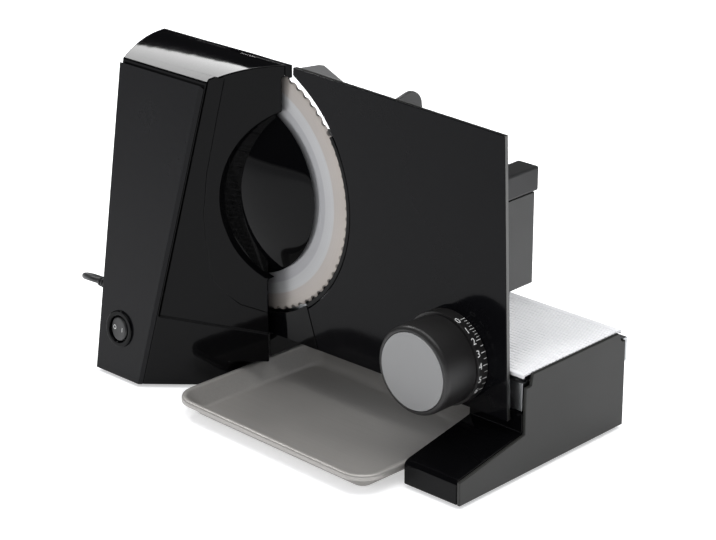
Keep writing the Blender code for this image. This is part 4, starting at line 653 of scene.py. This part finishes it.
groove_low = crown_crease(PANEL_THICKNESS)[1] - 0.0040
panel_ring = [(front_y(TOWER_FOOT), TOWER_FOOT), crown_crease(0.0),
              (front_y(groove_low, PANEL_THICKNESS), groove_low),
              (front_y(TOWER_FOOT, PANEL_THICKNESS), TOWER_FOOT)]
front_panel = placed(outlined("front_panel", panel_ring, 0.1405), (TOWER_LEFT, 0, 0), (pi / 2, 0, pi / 2))
sliced(front_panel, FLANK_FOOT, FLANK_NORMAL)
cut_away(front_panel, switch_hole())
soften(front_panel, 0.0003, 2)
panel_black = surfaced("panel_black", moulded, tint(16, 16, 18), 0.22, 0.25, 0.00004, specular=0.12,
                       Grain=260.0)
fitted(front_panel, "base", "satin_black", panel_black, "tower_face_panel")


def dressed(node, name, body, finish, width=0.0, segments=2, angle=32):
    """Stands a copy of a CAD node in for it, its triangles merged into faces and its edges rounded."""
    copy = bpy.data.objects.new(name, nodes[node].data.copy())
    bpy.context.scene.collection.objects.link(copy)
    copy.data.materials.clear()
    work_on(copy)
    bpy.ops.mesh.customdata_custom_splitnormals_clear()
    pick_all()
    bpy.ops.mesh.remove_doubles(threshold=0.000005)
    bpy.ops.mesh.dissolve_limited(angle_limit=radians(0.4))
    hold(copy)
    if width:
        soften(copy, width, segments, angle)
    else:
        smooth(copy, angle)
    copy.data.materials.append(finish)
    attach(copy, body)
    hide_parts(node)
    return copy


def refinished(finish, *names):
    """Gives CAD nodes that stay as they are their material."""
    for name in names:
        for material_slot in nodes[name].material_slots:
            material_slot.material = finish


dressed("blade_guard", "guard_plate", "base", gloss_black, 0.0004)

# A slim black ring carries the guard plate's edge on round the blade's free side.
BLADE_MIDDLE = Vector((0, 0, BLADE_HEIGHT))
RING_INNER, RING_OUTER, RING_BACK, RING_FRONT = 0.0856, 0.0884, -0.0004, 0.0037
FLANGE_INNER, FLANGE_FRONT = 0.0825, 0.0002
RING_FOOT, RING_HEAD = radians(-54.3), radians(34.0)
ring_rings = [(RING_INNER, FLANGE_FRONT), (FLANGE_INNER, FLANGE_FRONT), (FLANGE_INNER, RING_BACK),
              (RING_OUTER, RING_BACK), (RING_OUTER, RING_FRONT), (RING_INNER, RING_FRONT),
              (RING_INNER, FLANGE_FRONT)]
guard_ring = placed(turned("guard_ring", ring_rings, 240, hollow=True), BLADE_MIDDLE, FRONTWARD)
sliced(guard_ring, BLADE_MIDDLE, (-sin(RING_HEAD), 0, cos(RING_HEAD)))
sliced(guard_ring, BLADE_MIDDLE, (sin(RING_FOOT), 0, -cos(RING_FOOT)))
soften(guard_ring, 0.0004, 2)
fitted(guard_ring, "base", "gloss_black", gloss_black)
for number in (1, 2, 3):
    dressed(f"guard_screw_{number}", f"guard_plate_screw_{number}", "base", plain_steel)
refinished(plain_steel, "worm_shaft", "motor_can", "motor_bracket")


# Switch.
# A round bezel snapped into the front panel, with a rocker that tips about its middle.
# The nought and the stroke are printed on it in white.

matt_black = surfaced("matt_black", moulded, tint(22, 22, 23), 0.48, 0.2, 0.00005, Grain=1600.0)
print_white = surfaced("print_white", moulded, tint(226, 226, 224), 0.5, 0.1, 0.00001, Grain=900.0)
bezel_rings = [(0.0100, -0.0180), (0.0100, 0.0003), (0.0122, 0.0003), (0.0122, 0.0008)]
bezel_rings += [(0.0122 - 0.0007 * (1 - cos(a)), 0.0008 + 0.0007 * sin(a)) for a in (0.5, 1.0, pi / 2)]
bezel_rings += [(0.0096, 0.0015), (0.0092, 0.0013), (0.0090, 0.0010), (0.0090, -0.0060), (0.0004, -0.0060)]
bezel = placed(smooth(turned("switch_ring", bezel_rings, 96)), SWITCH_PLACE, PANEL_FACING)
fitted(bezel, "base", "satin_black", gloss_black, "switch_bezel")

ROCKER_TILT = radians(7)
rocker_tip = Matrix.Rotation(-ROCKER_TILT, 3, PANEL_UP)
rocker_turn = (rocker_tip @ PANEL_FACING.to_matrix()).to_euler()
rocker_place = SWITCH_PLACE - 0.001 * PANEL_NORMAL
rocker_rings = [(0.0040, -0.0028), (0.0078, -0.0020), (0.0082, 0.0008), (0.0081, 0.0014), (0.0078, 0.0019),
                (0.0073, 0.0022), (0.0060, 0.0022), (0.0040, 0.0021), (0.0012, 0.0020)]
rocker = placed(smooth(turned("rocker", rocker_rings, 72)), rocker_place, rocker_turn)
fitted(rocker, "rocker", "satin_black", matt_black, "switch_rocker")


def lettered(name, text, size, across, up, lift):
    """A printed sign as a thin raised mesh, drawn flat at the origin."""
    hold()
    bpy.ops.object.text_add()
    sign = bpy.context.object
    sign.data.body = text
    sign.data.size = size
    sign.data.align_x = "CENTER"
    sign.data.align_y = "CENTER"
    sign.data.extrude = 0.00002
    sign.location = (across, up, lift)
    bpy.ops.object.convert(target="MESH")
    return named(name)


for label, across in (("O", -0.0041), ("I", 0.0041)):
    mark = placed(lettered("switch_mark", label, 0.0042, across, 0, 0.00224), rocker_place, rocker_turn)
    fitted(mark, "rocker", "satin_black", print_white)


# Gear housing.
# The dome that fills the blade's middle is the lid of the gear housing, in high-gloss black.
# Two arms carry it from the tower's left wall; a bronze bush and a nylon wheel turn in it.

DOME_RADIUS, DOME_CROWN, DOME_RIM, DOME_WALL = 0.0591, 0.0215, 0.0050, 0.0015
DOME_SHOULDER = 0.9
ARM_RISE, ARM_WIDTH = 0.0390, 0.0140
BOSS_RADIUS, BORE_RADIUS = 0.0113, 0.0091


def dome_rings(radius, crown, rim, start, steps=24):
    """The dome from its rim to its crown, as a shallow cap."""
    rings = [(radius, start)]
    for i in range(steps, 0, -1):
        share = sin(pi / 2 * i / steps)
        rings.append((radius * share, rim + (crown - rim) * max(0.0, 1 - share**2) ** DOME_SHOULDER))
    rings.append((radius * 0.01, crown))
    return rings


outer_rings = dome_rings(DOME_RADIUS, DOME_CROWN, DOME_RIM + 0.00001, DOME_RIM)
inner_rings = dome_rings(DOME_RADIUS - DOME_WALL, DOME_CROWN - DOME_WALL, DOME_RIM, DOME_RIM - 0.0020)
housing = placed(turned("dome_housing", outer_rings, 128), BLADE_MIDDLE, FRONTWARD)
for side in (-1, 1):
    arm_middle = BLADE_HEIGHT + side * ARM_RISE
    joined(housing, block("arm", (TOWER_LEFT + WALL + GAP, -0.0220, arm_middle - ARM_WIDTH / 2),
                          (-0.0380, -DOME_RIM, arm_middle + ARM_WIDTH / 2)))
cut_away(housing, placed(turned("dome_hollow", inner_rings, 96), BLADE_MIDDLE, FRONTWARD))
boss_rings = [(BOSS_RADIUS, 0.0132), (BOSS_RADIUS, DOME_CROWN - 0.0010)]
bore_rings = [(BORE_RADIUS, 0.0), (BORE_RADIUS, 0.0175)]
joined(housing, placed(turned("boss", boss_rings, 64), BLADE_MIDDLE, FRONTWARD))
worm_slot = block("worm_slot", (-0.0563, -0.030, BLADE_HEIGHT - 0.0130),
                  (-0.0383, 0.001, BLADE_HEIGHT + 0.0130))
cut_away(housing, placed(turned("bore", bore_rings, 64), BLADE_MIDDLE, FRONTWARD), worm_slot)
smooth(housing, 25)
dome_black = surfaced("dome_black", moulded, tint(6, 6, 7), 0.04, 0.3, 0.00003, specular=0.11,
                      Grain=60.0)
fitted(housing, "base", "gloss_black", dome_black, "gear_housing")

bronze = surfaced("sintered_bronze", moulded, tint(150, 110, 62), 0.42, 0.3, 0.00003, metallic=1.0,
                  Grain=900.0)
nylon = surfaced("white_nylon", moulded, tint(214, 208, 190), 0.42, 0.15, 0.00003, Grain=500.0)
refinished(bronze, "gear_bush")
refinished(nylon, "drive_gear")


# Blade.
# A hardened steel disc, ground hollow behind its edge, with shallow wavy teeth cut round its rim.
# A coin-slotted screw holds it on the gear's hub from the back.

BLADE_RADIUS = 0.0850
TOOTH_COUNT = 75
TOOTH_DEPTH = 0.0011
NOTCH = (0, 0, 0.35, 0.85, 1.0, 0.85, 0.35, 0)
tooth_points = len(NOTCH) * TOOTH_COUNT
blade_rings = [(0.0056, 0.0016), (0.0056, 0.0028), (0.0300, 0.0028), (0.0540, 0.0028), (0.0548, 0.00276),
               (0.0640, 0.0026), (0.0724, 0.00244), (0.0732, 0.00240), (0.0790, 0.0018), (0.0826, 0.0014),
               (0.0836, 0.00125), (BLADE_RADIUS, 0.00085), (BLADE_RADIUS, 0.0007), (0.0790, 0.0009),
               (0.0728, 0.0012), (0.0540, 0.0016), (0.0056, 0.0016)]
blade = turned("toothed_blade", blade_rings, tooth_points, hollow=True)
work_on(blade)
for phase, share in enumerate(NOTCH):
    def in_phase(v):
        turn = atan2(v.co.y, v.co.x) / (2 * pi) * tooth_points
        return Vector(v.co.xy).length > BLADE_RADIUS - 0.0002 and round(turn) % len(NOTCH) == phase
    pick(blade, "VERT", in_phase)
    scale = (BLADE_RADIUS - TOOTH_DEPTH * share) / BLADE_RADIUS
    bpy.ops.transform.resize(value=(scale, scale, 1), center_override=(0, 0, 0))
hold(blade)
placed(smooth(blade, 40), BLADE_MIDDLE, FRONTWARD)

# Turned and ground metal: rings round the axis, in bands that the grinding wheels left.
lathed, turned_in, turned_out = surface_group(
    "turned_metal", ("Centre", "NodeSocketVector", (0, 0, 0)), ("Fineness", "NodeSocketFloat", 2600.0))
lathed.interface.new_socket("Radius", in_out="OUTPUT", socket_type="NodeSocketFloat")
turned_place = lathed.nodes.new("ShaderNodeTexCoord").outputs["Object"]
from_axis = maths(lathed, "SUBTRACT", turned_place, turned_in["Centre"], VECTORS)
off_axis = maths(lathed, "MULTIPLY", from_axis, (1, 0, 1), VECTORS)
reach = lathed.nodes.new(VECTORS)
reach.operation = "LENGTH"
lathed.links.new(off_axis, reach.inputs[0])
turned_radius = reach.outputs["Value"]
ring_noise = lathed.nodes.new("ShaderNodeTexNoise")
ring_noise.noise_dimensions = "1D"
ring_noise.inputs["Scale"].default_value = 1.0
ring_noise.inputs["Detail"].default_value = 3.0
ring_place = maths(lathed, "MULTIPLY", turned_radius, turned_in["Fineness"])
lathed.links.new(ring_place, ring_noise.inputs["W"])
rings_drawn = ring_noise.outputs["Fac"]
turned_clouds = stretched_noise(lathed, turned_place, (30, 30, 30), 3.0)
turned_both = maths(lathed, "SUBTRACT", maths(lathed, "ADD", rings_drawn, turned_clouds), 1.0)
varied(lathed, turned_in, turned_out, turned_both, rings_drawn)
lathed.links.new(turned_radius, turned_out["Radius"])

blade_steel = surfaced("blade_steel", lathed, tint(226, 226, 226), 0.30, 0.22, 0.00001, metallic=0.45,
                       Centre=BLADE_MIDDLE + TO_PACK, Fineness=2600.0)
blade_tree = blade_steel.node_tree
blade_skin = next(n for n in blade_tree.nodes if n.type == "GROUP").outputs


def on_blade(operation, first, second=None):
    return maths(blade_tree, operation, first, second)


# The bands are the blade's ground and polished zones; their lighter and darker tones are partly painted
# reflection of the studio, put into the base colour by radius
bands = blade_tree.nodes.new("ShaderNodeValToRGB")
FINISH_AND_REFLECTION_BANDS = [(0.0, (158, 158, 160)), (0.0660, (160, 160, 162)), (0.0668, (177, 177, 178)),
         (0.0734, (183, 183, 184)), (0.0742, (176, 170, 165)), (BLADE_RADIUS, (183, 175, 168))]
for index, (radius, colour) in enumerate(FINISH_AND_REFLECTION_BANDS):
    share = radius / BLADE_RADIUS
    stop = bands.color_ramp.elements[index] if index < 2 else bands.color_ramp.elements.new(share)
    stop.position = share
    stop.color = tint(*colour)
blade_tree.links.new(on_blade("DIVIDE", blade_skin["Radius"], BLADE_RADIUS), bands.inputs[0])
banded = maths(blade_tree, "MULTIPLY", bands.outputs[0], blade_skin["Colour"], VECTORS)

# Every notch is ground into the face as well; the ground facet's darker reflection is painted into the colour
# as a short grey oval of painted shade.
OVAL_RADIUS, OVAL_REACH, OVAL_HALF_LENGTH = 0.0846, 0.0019, 0.0019
OVAL_EDGE, OVAL_SHARPNESS, OVAL_PAINTED_SHADE = 1.2, 2.5, 0.6
blade_place = blade_tree.nodes.new("ShaderNodeTexCoord").outputs["Object"]
from_middle = maths(blade_tree, "SUBTRACT", blade_place, BLADE_MIDDLE + TO_PACK, VECTORS)
apart = blade_tree.nodes.new("ShaderNodeSeparateXYZ")
blade_tree.links.new(from_middle, apart.inputs[0])
round_turn = on_blade("ARCTAN2", apart.outputs["Z"], apart.outputs["X"])
tooth_turn = on_blade("MULTIPLY", round_turn, TOOTH_COUNT / (2 * pi))
off_notch = on_blade("SUBTRACT", on_blade("FRACT", on_blade("ADD", tooth_turn, float(TOOTH_COUNT))), 0.5)
along_oval = on_blade("MULTIPLY", off_notch, 2 * pi * BLADE_RADIUS / TOOTH_COUNT / OVAL_HALF_LENGTH)
across_oval = on_blade("DIVIDE", on_blade("SUBTRACT", blade_skin["Radius"], OVAL_RADIUS), OVAL_REACH)
across_squared = on_blade("MULTIPLY", across_oval, across_oval)
oval = on_blade("ADD", on_blade("MULTIPLY", along_oval, along_oval), across_squared)
inside_oval = on_blade("MULTIPLY", on_blade("SUBTRACT", OVAL_EDGE, oval), OVAL_SHARPNESS)
# painted shade: the oval mask darkens the blade's colour where the ground facet would reflect darker
ground = on_blade("MINIMUM", on_blade("MAXIMUM", inside_oval, 0.0), 1.0)
kept_light = on_blade("SUBTRACT", 1.0, on_blade("MULTIPLY", ground, OVAL_PAINTED_SHADE))
blade_shader = blade_tree.nodes["Principled BSDF"]
blade_tree.links.new(toned(blade_tree, banded, kept_light), blade_shader.inputs["Base Color"])
blade_shader.inputs["Anisotropic"].default_value = 0.6
round_axis = blade_tree.nodes.new("ShaderNodeTangent")
round_axis.direction_type = "RADIAL"
round_axis.axis = "Y"
blade_tree.links.new(round_axis.outputs[0], blade_shader.inputs["Tangent"])
fitted(blade, "blade", "blade_steel", blade_steel, "blade")

turned_steel = surfaced("turned_steel", lathed, tint(172, 172, 174), 0.26, 0.25, 0.00001, metallic=1.0,
                        Centre=BLADE_MIDDLE + TO_PACK, Fineness=3000.0)
dressed("blade_screw", "coin_screw", "blade", turned_steel)


# Gauge plate.
# Aluminium plate, coated charcoal gloss on its face and bare along its milled edges.
# It hangs on two rods and slides back as the knob turns; a small finger guard sits behind its top.

charcoal_gloss = surfaced("charcoal_gloss", moulded, tint(11, 11, 13), 0.10, 0.3, 0.00004,
                          specular=0.08, Grain=90.0)
bare_edge = surfaced("bare_edge", drawn, tint(98, 98, 97), 0.32, 0.3, 0.00001, metallic=1.0,
                     Stretch=(60.0, 2400.0, 60.0))
plate = dressed("gauge_plate", "stop_plate", "gauge", charcoal_gloss, 0.0004)
plate.data.materials.append(bare_edge)
work_on(plate)
pick(plate, "FACE", lambda f: abs(f.normal.y) < 0.35)
plate.active_material_index = 1
bpy.ops.object.material_slot_assign()
hold(plate)
finger_grey = surfaced("finger_grey", moulded, tint(84, 84, 84), 0.42, 0.2, 0.00003, Grain=1200.0)
dressed("finger_guard", "finger_stop", "gauge", finger_grey, 0.0005, 3)
for number in (1, 2):
    dressed(f"guide_rod_{number}", f"plate_rod_{number}", "gauge", plain_steel)
refinished(plain_steel, "spindle")


# Setting knob.
# A matt black grip with a flat silver-grey disc let into its face, on a dial printed with 0 to 6.
# Its shaft passes the plate, where a clip holds it; a pinion on it turns the spindle below.

KNOB_PLACE = Vector((0.1735, 0, 0.0665))
GRIP_RADIUS, GRIP_FRONT, GRIP_BACK = 0.0285, 0.0390, 0.0130
DISC_RADIUS = 0.0249
DIAL_RADIUS, DIAL_BACK = 0.0300, 0.0044
GRIP_ROUNDING = 0.0030
grip_rings = [(GRIP_RADIUS - 0.0004, GRIP_BACK), (GRIP_RADIUS, GRIP_BACK + 0.0004)]
grip_rings += [(GRIP_RADIUS - GRIP_ROUNDING * (1 - cos(a * pi / 16)),
                GRIP_FRONT - GRIP_ROUNDING * (1 - sin(a * pi / 16))) for a in range(9)]
grip_rings += [(DISC_RADIUS + 0.0005, GRIP_FRONT), (DISC_RADIUS + 0.0003, GRIP_FRONT - 0.0002),
               (DISC_RADIUS + 0.0003, GRIP_FRONT - 0.0018), (0.0010, GRIP_FRONT - 0.0018)]
grip = placed(smooth(turned("setting_grip", grip_rings, 144), 40), KNOB_PLACE, FRONTWARD)
grip_black = surfaced("grip_black", moulded, tint(26, 25, 25), 0.46, 0.15, 0.00004, Grain=2000.0)
fitted(grip, "knob", "satin_black", grip_black, "knob_grip")
disc_rings = [(DISC_RADIUS, GRIP_FRONT - 0.0015), (DISC_RADIUS, GRIP_FRONT + 0.0001),
              (DISC_RADIUS - 0.0001, GRIP_FRONT + 0.0003), (DISC_RADIUS - 0.0004, GRIP_FRONT + 0.0004),
              (0.0010, GRIP_FRONT + 0.0004)]
disc = placed(smooth(turned("setting_disc", disc_rings, 144), 40), KNOB_PLACE, FRONTWARD)
disc_silver = surfaced("disc_silver", moulded, tint(132, 132, 132), 0.42, 0.08, 0.00002, metallic=0.3,
                       Grain=2600.0)
fitted(disc, "knob", "silver_disc", disc_silver, "knob_disc")
DIAL_INNER = DIAL_RADIUS - 0.0028
dial_rings = [(DIAL_RADIUS, DIAL_BACK), (DIAL_RADIUS, GRIP_BACK - 0.0007),
              (DIAL_RADIUS - 0.0001, GRIP_BACK - 0.0004), (DIAL_RADIUS - 0.0004, GRIP_BACK - 0.0003),
              (DIAL_INNER, GRIP_BACK - 0.0003), (DIAL_INNER, DIAL_BACK), (DIAL_RADIUS, DIAL_BACK)]
dial = placed(smooth(turned("dial", dial_rings, 144, hollow=True), 40), KNOB_PLACE, FRONTWARD)
fitted(dial, "knob", "satin_black", grip_black, "dial_ring")

DIAL_NUMBERS = (22.1, 38.6, 53.4, 68.7, 83.9, 100.5, 116.9)


def on_dial(mark, degrees, out=0.00002):
    """Turns a mark that was drawn flat so that it lies on the dial, its top towards smaller angles."""
    turn = radians(degrees)
    outward = Vector((sin(turn), 0, cos(turn)))
    up = Vector((-cos(turn), 0, sin(turn)))
    across = up.cross(outward)
    place = KNOB_PLACE + outward * (DIAL_RADIUS + out)
    return placed(mark, place, Matrix((across, up, outward)).transposed().to_euler())


def tick(name, near, far, width):
    """A printed line across the dial, between two depths behind the plate's face."""
    line = block(name, (near, -width / 2, -0.00004), (far, width / 2, 0.00004))
    return soften(line, 0.00003, 1)


marks = []
for number, degrees in enumerate(DIAL_NUMBERS):
    marks.append(on_dial(lettered("dial_number", str(number), 0.0062, -0.0108, 0, 0), degrees))
    marks.append(on_dial(tick("dial_line", -0.0084, -0.0047, 0.00042), degrees))
for first, second, count in zip(DIAL_NUMBERS, DIAL_NUMBERS[1:], (3, 3, 1, 1, 1, 1)):
    for step in range(1, count + 1):
        between = first + (second - first) * step / (count + 1)
        marks.append(on_dial(tick("dial_tick", -0.0072, -0.0047, 0.00030), between))
hold(marks[0])
for mark in marks:
    mark.select_set(True)
bpy.ops.object.join()
fitted(marks[0], "knob", "satin_black", print_white)
marks[0].name = "dial_print"
refinished(plain_steel, "knob_shaft", "knob_clip")
refinished(nylon, "knob_pinion")


# Base.
# Two hollow black mouldings carry the deck's rail, with a tunnel between them for the tray.
# The right one runs out to a sloping toe; a satin grey panel closes it, and rubber feet sit under all.

panel_grey = surfaced("panel_grey", moulded, tint(37, 37, 35), 0.40, 0.2, 0.00003, specular=0.3,
                      Grain=1400.0)
dressed("base_left_block", "left_base_block", "base", gloss_black, 0.0008, 3)
dressed("base_right_foot", "right_base_foot", "base", gloss_black, 0.0008, 3)
dressed("foot_side_panel", "side_panel", "base", panel_grey, 0.0006, 3)
foot_rubber = surfaced("foot_rubber", moulded, tint(30, 30, 30), 0.7, 0.3, 0.00005, Grain=1300.0)
for number in range(1, 8):
    dressed(f"rubber_foot_{number}", f"table_foot_{number}", "base", foot_rubber, 0.0003)


# Deck.
# A sheet of bright ribbed steel on an aluminium rail; the bread slides on the ribs.
# Plastic spacers lie between, and a die-cast block inside the rail guides the gauge plate.

DECK_LEFT, DECK_RIGHT, DECK_FRONT, DECK_BACK = -0.0780, 0.2260, 0.0020, 0.0976
DECK_TOP, DECK_SHEET, DECK_FOLD = 0.0668, 0.0012, 0.0023
RIB_PITCH, RIB_DEPTH = 0.0032, 0.0005
DECK_EDGE = 0.0004
fold_foot, sheet_back = DECK_TOP - DECK_FOLD, DECK_BACK - DECK_SHEET
deck_ring = [(DECK_FRONT + DECK_SHEET, fold_foot), (DECK_FRONT, fold_foot),
             (DECK_FRONT, DECK_TOP - DECK_EDGE), (DECK_FRONT + DECK_EDGE, DECK_TOP)]
rib_y = DECK_FRONT + 0.0040
while rib_y < DECK_BACK - 0.0040:
    deck_ring += [(rib_y - 0.0007, DECK_TOP), (rib_y - 0.0003, DECK_TOP - RIB_DEPTH),
                  (rib_y + 0.0003, DECK_TOP - RIB_DEPTH), (rib_y + 0.0007, DECK_TOP)]
    rib_y += RIB_PITCH
deck_ring += [(DECK_BACK - DECK_EDGE, DECK_TOP), (DECK_BACK, DECK_TOP - DECK_EDGE), (DECK_BACK, fold_foot),
              (sheet_back, fold_foot), (sheet_back, DECK_TOP - DECK_SHEET),
              (DECK_FRONT + DECK_SHEET, DECK_TOP - DECK_SHEET)]
deck = outlined("ribbed_deck", deck_ring, DECK_RIGHT - DECK_LEFT)
placed(deck, (DECK_LEFT, 0, 0), (pi / 2, 0, pi / 2))
smooth(deck, 25)
deck_bright = surfaced("deck_bright", drawn, tint(222, 222, 223), 0.42, 0.06, 0.00001,
                       Stretch=(10.0, 1400.0, 1400.0))
fitted(deck, "base", "steel", deck_bright, "deck_plate")
rail_aluminium = surfaced("rail_aluminium", drawn, tint(176, 178, 180), 0.34, 0.2, 0.00001,
                          metallic=1.0, Stretch=(12.0, 1600.0, 1600.0))
dressed("deck_rail", "rail", "base", rail_aluminium, 0.0003)
dressed("carriage_guide", "guide_bar", "base", rail_aluminium, 0.0003)
refinished(matt_black, "deck_spacer_1", "deck_spacer_2", "deck_spacer_3")
refinished(rail_aluminium, "slide_block")


# Hand guard carriage.
# Grey moulded walls on a runner that slides along the guide bar, a black grip cap on the right one.
# The food pusher, a spiked plate, slides on a rail along the left wall.

carriage_grey = surfaced("carriage_grey", moulded, tint(46, 46, 45), 0.42, 0.15, 0.00004, Grain=1400.0)
for node, name in (("carriage_runner", "runner"), ("carriage_left_wall", "left_guard_wall"),
                   ("carriage_right_wall", "right_guard_wall"), ("carriage_back_wall", "rear_guard_wall")):
    dressed(node, name, "carriage", carriage_grey, 0.0005, 3)
dressed("carriage_grip", "grip_cap", "carriage", matt_black, 0.0004, angle=20)
dressed("pusher_rail", "pusher_bar", "carriage", plain_steel, 0.0004)
dressed("food_pusher", "spiked_pusher", "pusher", matt_black)


# Slice tray.
# Pressed from satin steel sheet: a flat bottom, sloping sides and a rolled rim.
# It lies loose on the table in the tunnel, a few degrees askew, and is drawn out to the front.

TRAY_WIDTH, TRAY_DEPTH, TRAY_CORNER, TRAY_HEIGHT, TRAY_SHEET = 0.1745, 0.1300, 0.0180, 0.0134, 0.0008
TRAY_BOTTOM = 0.0003 + TRAY_SHEET / 2
TRAY_START = TRAY_HEIGHT - TRAY_SHEET / 2 - 0.0030
tray_bend = TRAY_CORNER - TRAY_SHEET / 2
tray_ring = []
for quarter, (side, end) in enumerate(((1, 1), (-1, 1), (-1, -1), (1, -1))):
    corner_x = side * (TRAY_WIDTH / 2 - TRAY_CORNER)
    corner_y = end * (TRAY_DEPTH / 2 - TRAY_CORNER)
    for step in range(17):
        turn = (quarter + step / 16) * pi / 2
        tray_ring.append((corner_x + tray_bend * cos(turn), corner_y + tray_bend * sin(turn)))
tray = flat_outline("pressed_tray", tray_ring, TRAY_START)
TRAY_STEPS = [(0.0, 0.0020), (0.0002, 0.0006), (0.0005, 0.0003), (0.0009, 0.0001), (0.0009, 0.0),
              (0.0006, -0.0003), (0.0005, -0.0008), (0.0030, -0.0045), (0.0030, -0.0045), (0.0008, -0.0009),
              (0.0012, -0.0008), (0.0020, -0.0004)]
for inward, rise in TRAY_STEPS:
    bpy.ops.mesh.inset(thickness=max(inward, 0.00001), depth=0.0, use_even_offset=True)
    bpy.ops.transform.translate(value=(0, 0, rise))
hold(tray)
tray_fall = min(v.co.z for v in tray.data.vertices)
applied(tray, "SOLIDIFY", thickness=TRAY_SHEET, offset=0)
smooth(tray, 40)
placed(tray, (0.0946, -0.0209, TRAY_BOTTOM - tray_fall), (0, 0, radians(-2)))
tray_steel = surfaced("tray_steel", drawn, tint(165, 162, 158), 0.42, 0.20, 0.00001, metallic=0.45,
                      Stretch=(14.0, 900.0, 900.0))
fitted(tray, "tray", "steel", tray_steel, "slice_tray")
